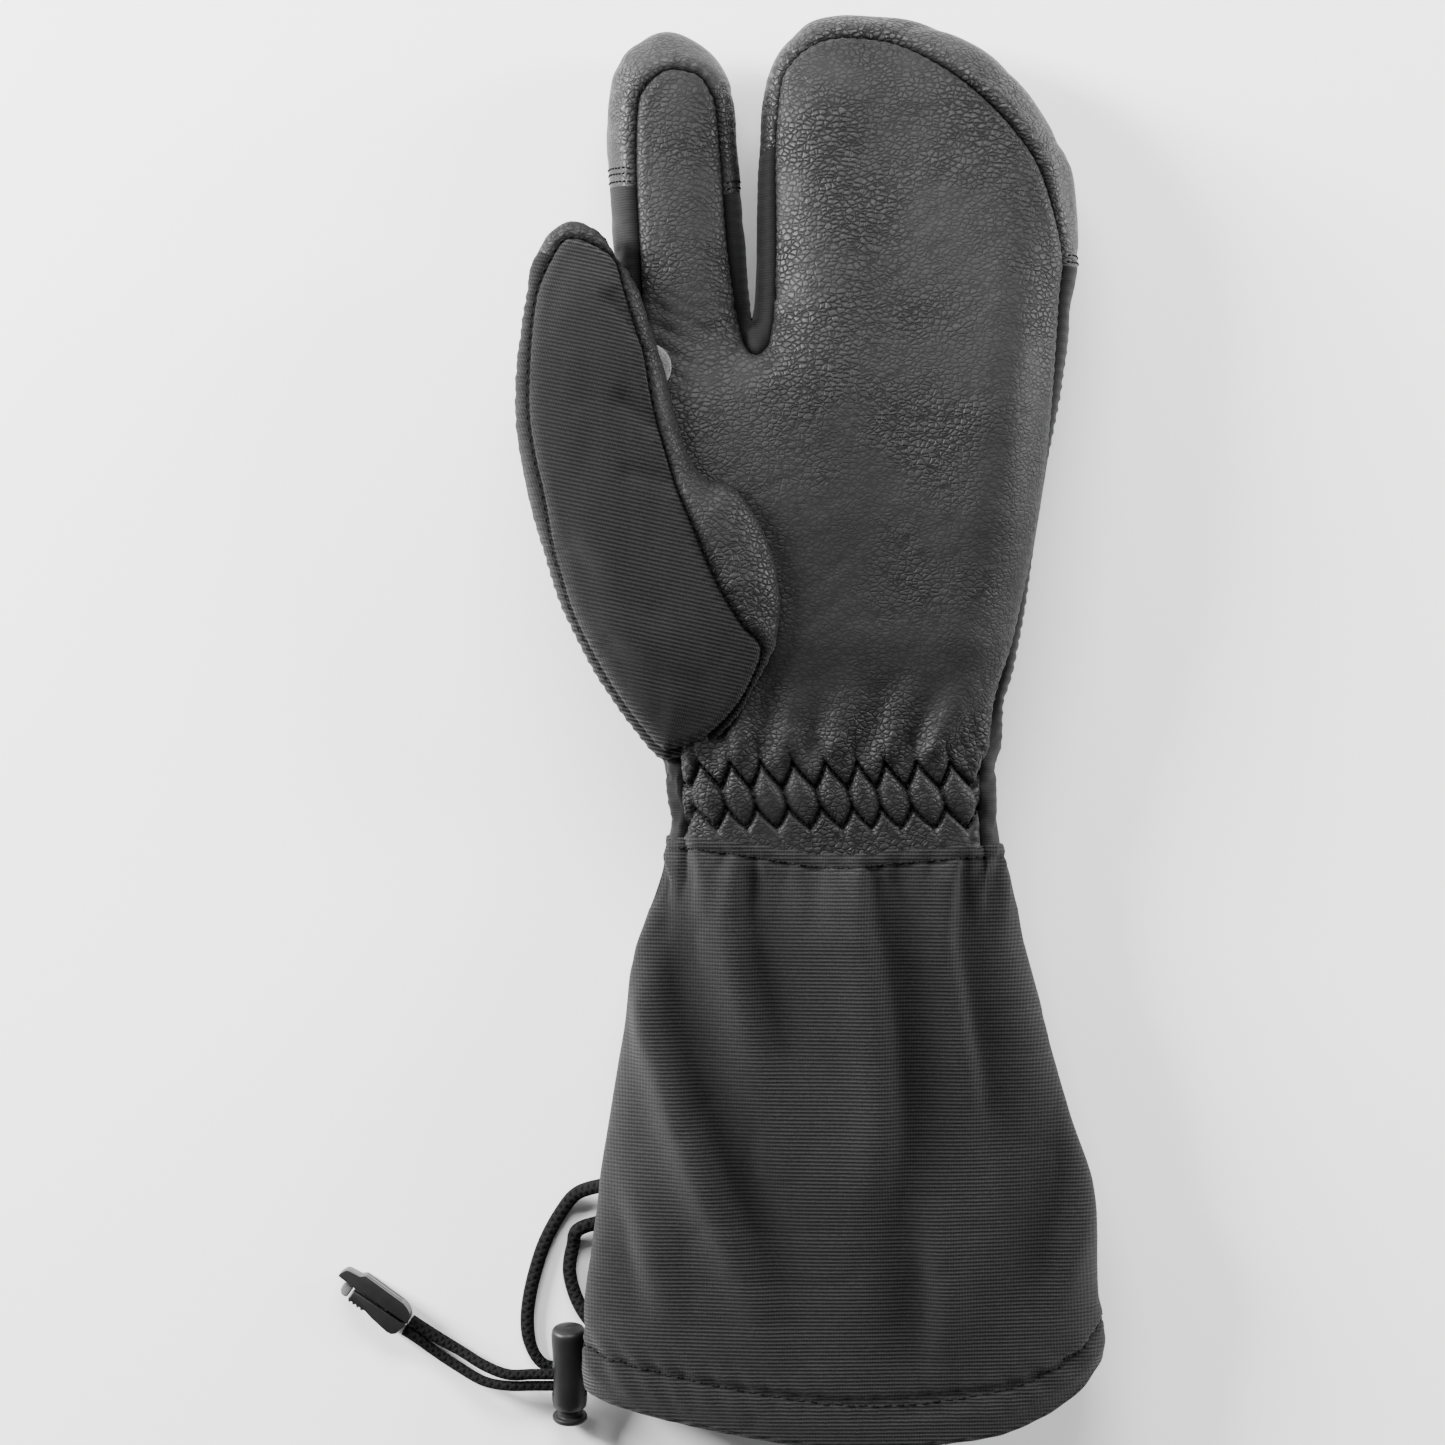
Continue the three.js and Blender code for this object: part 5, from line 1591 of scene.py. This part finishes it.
def build_hem():
    """The folded edge, and the facing inside it up to the stitched line."""
    angles = np.linspace(0, 2 * math.pi, CUFF_COLUMNS, endpoint=False)
    last = cuff_points.reshape(CUFF_ROWS, CUFF_COLUMNS, 3)[-1]
    inner = cuff_surface(1.0, angles, FACING_INSET)
    rows = [last + (0, 0.6, 0)]
    turns = 8
    for k in range(turns + 1):
        a = math.pi * k / turns
        share = (1 - math.cos(a)) / 2
        row = blend_of(last, inner, share)
        row[:, 1] = blend_of(last[:, 1], inner[:, 1], share) - HEM_ROLL * math.sin(a)
        rows.append(row)
    for up in (1.5, 3.5, 6, 8.5, 10.5, HEM_DEPTH, HEM_DEPTH + 1):
        rows.append(cuff_surface(1.0, angles, FACING_INSET + 0.3 * math.sin(math.pi * up / HEM_DEPTH), up))
    points = np.concatenate(rows)
    ripple = 0.35 * np.cos(2 * math.pi * (points[:, 0] + 2 * lumps(points, 16, 24)) / 7.4)
    points[:, 2] += ripple * (points[:, 2] > 22)
    points[:, 2] = np.maximum(points[:, 2], FLOOR_GAP)
    faces = grid_faces(len(rows), CUFF_COLUMNS, wrap=True)
    normals = vertex_normals(points, faces)
    top = 5 * CUFF_COLUMNS + CUFF_COLUMNS // 4
    if normals[top][1] > 0:
        faces = [f[::-1] for f in faces]
        normals = -normals
    return points, faces, normals


hem_points, hem_faces, hem_normals = build_hem()
hem_skin = thick_piece(
    "hem_fold_skin", hem_points, hem_faces, hem_normals, [True] * len(hem_faces), 0.8, cuff_weave
)
belongs(hem_skin, ["hem_fold", "hem_facing", "drawcord_hem_run"], "gauntlet")


LINING_COLUMNS = 40


def sleeve_lining(name, stations, material, closed):
    """A lining as a tube through stations: y, left x, right x, bottom z, top z. closed gives it an end."""
    columns = LINING_COLUMNS
    rows = []
    line = smooth_line(stations, 6)
    for y, left, right, bottom, top in line:
        a = np.linspace(0, 2 * math.pi, columns, endpoint=False)
        c, s = np.cos(a), np.sin(a)
        x = (left + right) / 2 + (right - left) / 2 * np.sign(c) * np.abs(c) ** 0.85
        z = (bottom + top) / 2 + (top - bottom) / 2 * np.sign(s) * np.abs(s) ** 0.85
        rows.append(np.column_stack([x, np.full(columns, y), z]))
    points = np.concatenate(rows)
    faces = grid_faces(len(rows), columns, wrap=True, flip=True)
    if closed:
        middle = rows[-1].mean(0) + (0, 0.5, 0)
        points = np.concatenate([points, [middle]])
        start = (len(rows) - 1) * columns
        faces += [(start + i, start + (i + 1) % columns, len(points) - 1) for i in range(columns)]
    normals = vertex_normals(points, faces)
    points = points + normals * (0.5 * lumps(points, 12, 31))[:, None]
    piece = thick_piece(name, points, faces, normals, [True] * len(faces), 0.8, material)
    return piece


LINING_INSET = 9.5
inset_sections = [
    (y, left + LINING_INSET, right - LINING_INSET, 7.0, top - LINING_INSET)
    for y, left, right, top in CUFF_SECTIONS[::-1]
    if -150 < y < -20
]
cuff_stations = [(-162, -57, 64, 6.2, 34), *inset_sections, (-10, -36, 38.5, 7.5, 27)]
HAND_STATIONS = [
    (-14, -36, 39, 8, 30.5), (0, -33, 33, 9, 30), (30, -42, 40, 7.5, 37), (75, -49, 48, 7.5, 40),
    (121, -50, 55, 7.5, 36),
]
FINGERS_STATIONS = [
    (116, -13, 54, 8, 35), (152, -12, 59, 7.5, 33), (178, -11, 54, 8, 30), (196, -6, 38, 11, 26),
    (204, 6, 18, 15, 21),
]
INDEX_STATIONS = [
    (116, -51, -30, 8, 33), (150, -52, -31, 8, 30), (180, -53, -34, 9, 27), (194, -49, -38, 13, 22),
    (199, -45, -42, 16, 19),
]
# These are across the thumb's own line, from the palm's hollow to its tip.
THUMB_STATIONS = [
    (12, -15, 18, 29, 46), (40, -20, 18, 28, 48), (70, -20, 8, 29, 48), (100, -14, 3, 33, 44),
    (117, -6, -2, 37, 41),
]
LININGS = [
    (ride_wrist, "cuff_lining_skin", "gauntlet_lining", cuff_stations, lining_cloth, "lining_fabric", False),
    (ride_wrist, "hand_lining_skin", "hand_lining", HAND_STATIONS, fleece, "fleece", False),
    (ride_fingers, "fingers_lining_skin", "fingers_lining", FINGERS_STATIONS, fleece, "fleece", True),
    (ride_index, "index_lining_skin", "index_lining", INDEX_STATIONS, fleece, "fleece", True),
    (ride_thumb, "thumb_lining_skin", "thumb_lining", THUMB_STATIONS, fleece, "fleece", True),
]


def along_thumb(piece):
    """Moves a piece made along the Y axis to the thumb's own line."""
    turn = Matrix.Rotation(THUMB_LEAN, 4, "Z")
    root = Vector(to_frame([(*THUMB_ROOT, 0)])[0])
    unmoved = Matrix.Translation(-Vector(to_frame([(0, 0, 0)])[0]))
    piece.data.transform(Matrix.Translation(root) @ turn @ unmoved)


for ride, name, node, stations, material, slot, closed in LININGS:
    lining = sleeve_lining(name, stations, material, closed)
    if stations is THUMB_STATIONS:
        along_thumb(lining)
    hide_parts(node)
    ride(lining)


# ---- Patch and stitches -----------------------------------------------------------------------------------

PATCH_CENTRE = (-50.3, 115.6)
PATCH_RADIUS = 6.9
PATCH_THICKNESS = 1.4
STITCH_GAP = 0.1  # a stitch on the underside stays this far above the surface


def dropped(tree, line):
    """Points of the surface under an XY line, with their normals."""
    at, facing = [], []
    for x, y in np.asarray(line, float)[:, :2]:
        hit, normal, _, _ = tree.ray_cast(Vector((x, y, 90)), Vector((0, 0, -1)))
        if hit is not None:
            at.append(hit)
            facing.append(normal if normal.z > 0 else -normal)
    return np.array(at), np.array(facing)


def pulled(tree, line):
    """The nearest points of the surface to a line in space, with their normals."""
    hits = [tree.find_nearest(Vector(p)) for p in line]
    return np.array([h[0] for h in hits]), np.array([h[1] for h in hits])


STITCH_POINTS = 6  # along each stitch, and round it


def stitch_row(name, rows, ride, pitch, length, radius=0.3):
    """Thread stitches along rows of surface points. Each stitch rises out of the fabric and goes back in."""
    points, faces, uvs = [], [], []
    for at, facing in rows:
        if len(at) < 2:
            continue
        along = np.concatenate([[0], np.cumsum(np.linalg.norm(np.diff(at, axis=0), axis=1))])
        for k in range(int(along[-1] / pitch)):
            t = np.linspace(k * pitch, k * pitch + length, STITCH_POINTS)
            middle = np.stack([np.interp(t, along, at[:, c]) for c in range(3)], axis=1)
            up = np.stack([np.interp(t, along, facing[:, c]) for c in range(3)], axis=1)
            rise = np.sin(np.linspace(0, math.pi, STITCH_POINTS)) * 1.1 * radius - 0.15
            widths = radius * np.array([0.6, 1, 1, 1, 1, 0.6])
            p, f, uv = tube_mesh(middle + up * rise[:, None], widths, STITCH_POINTS)
            start = sum(len(x) for x in points)
            points.append(p)
            uvs.append(uv)
            faces += [tuple(i + start for i in face) for face in f]
    points = np.concatenate(points)
    points[:, 2] = np.maximum(points[:, 2], STITCH_GAP)
    piece = make_mesh(name, points, faces, thread, uv=np.concatenate(uvs))
    ride(piece)


PATCH_TO_SEAM = 0.9  # the gap left between the patch and the palm's seam


def add_patch():
    a = np.linspace(0, 2 * math.pi, 48, endpoint=False)
    x, y = PATCH_CENTRE
    ring = np.column_stack([x + PATCH_RADIUS * np.cos(a), y + PATCH_RADIUS * np.sin(a)])
    gap, _ = nearest(ring, hand_seam)
    for i in np.flatnonzero((gap < PATCH_TO_SEAM) | ~inside(ring, hand_seam)):
        seam = hand_seam[np.argmin(np.hypot(*(hand_seam - ring[i]).T))]
        toward = np.array(PATCH_CENTRE) - seam
        ring[i] = seam + toward / np.linalg.norm(toward) * PATCH_TO_SEAM
    ring = smooth_line(ring, 0.9, closed=True)
    flat, faces = filled(ring, 0.8, (0.3, 0.8))
    at = []
    for x, y in flat:
        hit = hand_tree.ray_cast(Vector((x, y, 90)), Vector((0, 0, -1)))[0]
        at.append(hit or hand_tree.find_nearest(Vector((x, y, 40)))[0])
    at = np.array(at)
    edge = nearest(flat, ring, closed=True)[0]
    at[:, 2] += 0.55 + 0.4 * round_off(edge / 0.9)
    normals = vertex_normals(at, faces)
    if normals[0][2] < 0:
        faces = [f[::-1] for f in faces]
        normals = -normals
    wanted = [True] * len(faces)
    patch = thick_piece("index_root_patch_skin", at, faces, normals, wanted, PATCH_THICKNESS, patch_leather)
    belongs(patch, ["index_root_patch"], "hand")


add_patch()


def straight_line(corners, spacing):
    along = np.concatenate([[0], np.cumsum(np.linalg.norm(np.diff(corners, axis=0), axis=1))])
    at = np.arange(0, along[-1], spacing)
    return np.stack([np.interp(at, along, corners[:, k]) for k in range(2)], axis=1)


def rib_line(rib, offset=0.0):
    """A line across the side strip at one rib, moved along the outline by offset."""
    seam, edge = hand_seam[rib], hand_outline[rib]
    ahead = hand_outline[rib + 1] - hand_outline[rib - 1]
    ahead = ahead / np.linalg.norm(ahead) * offset
    shares = np.linspace(0.06, 1.0, 14)
    middle = np.array([seam + (edge - seam) * math.sin(math.pi / 2 * s) + ahead for s in shares])
    return np.column_stack([middle, hand_upper(middle)])


stitch_row(
    "fingers_cap_stitches",
    [pulled(hand_tree, rib_line(MITT_CAP_START, d)) for d in (1.2, 3.0)],
    ride_fingers, pitch=1.7, length=1.25, radius=0.24,
)
stitch_row(
    "index_cap_stitches",
    [pulled(hand_tree, rib_line(INDEX_CAP_END, -d)) for d in (1.3, 3.4, 5.0)]
    + [pulled(hand_tree, rib_line(INDEX_CAP_START, d)) for d in (1.2, 3.0)],
    ride_index, pitch=1.7, length=1.25, radius=0.24,
)
stitch_row(
    "wrist_zigzag_stitches",
    [dropped(hand_tree, straight_line(zigzag(*row, -38, 40), 0.8)) for row in (UPPER_ROW, LOWER_ROW)],
    ride_wrist, pitch=2.2, length=1.7, radius=0.3,
)
along_leather = (leather_edge_line[:, 0] > -42) & (leather_edge_line[:, 0] < 44)
below_leather = leather_edge_line[along_leather] - (0, 2.4)
stitch_row("gauntlet_seam_stitches", [dropped(cuff_tree, below_leather)], ride_wrist, pitch=2.9, length=2.1)


def hem_stitch_line():
    angles = np.linspace(0, 2 * math.pi, 400)
    return cuff_surface(1.0, angles, 0.0, HEM_DEPTH)


stitch_row(
    "hem_stitches", [pulled(cuff_tree, hem_stitch_line())], lambda piece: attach(piece, "gauntlet"),
    pitch=3.4, length=2.4,
)
stitch_row(
    "thumb_seam_stitches", [dropped(thumb_tree, thumb_seam[thumb_seam[:, 1] > 24])], ride_thumb,
    pitch=3.1, length=1.5, radius=0.22,
)


# ---- Floor and finish -------------------------------------------------------------------------------------


def add_floor():
    mesh = bpy.data.meshes.new("floor")
    half = 3.0
    corners = [(-half, -half, 0), (half, -half, 0), (half, half, 0), (-half, half, 0)]
    mesh.from_pydata(corners, [], [(0, 1, 2, 3)])
    floor = bpy.data.objects.new("floor", mesh)
    bpy.context.scene.collection.objects.link(floor)
    s = Shader("floor")
    mesh.materials.append(s.finish(Base_Color=grey(0.87), Roughness=0.9))


add_floor()
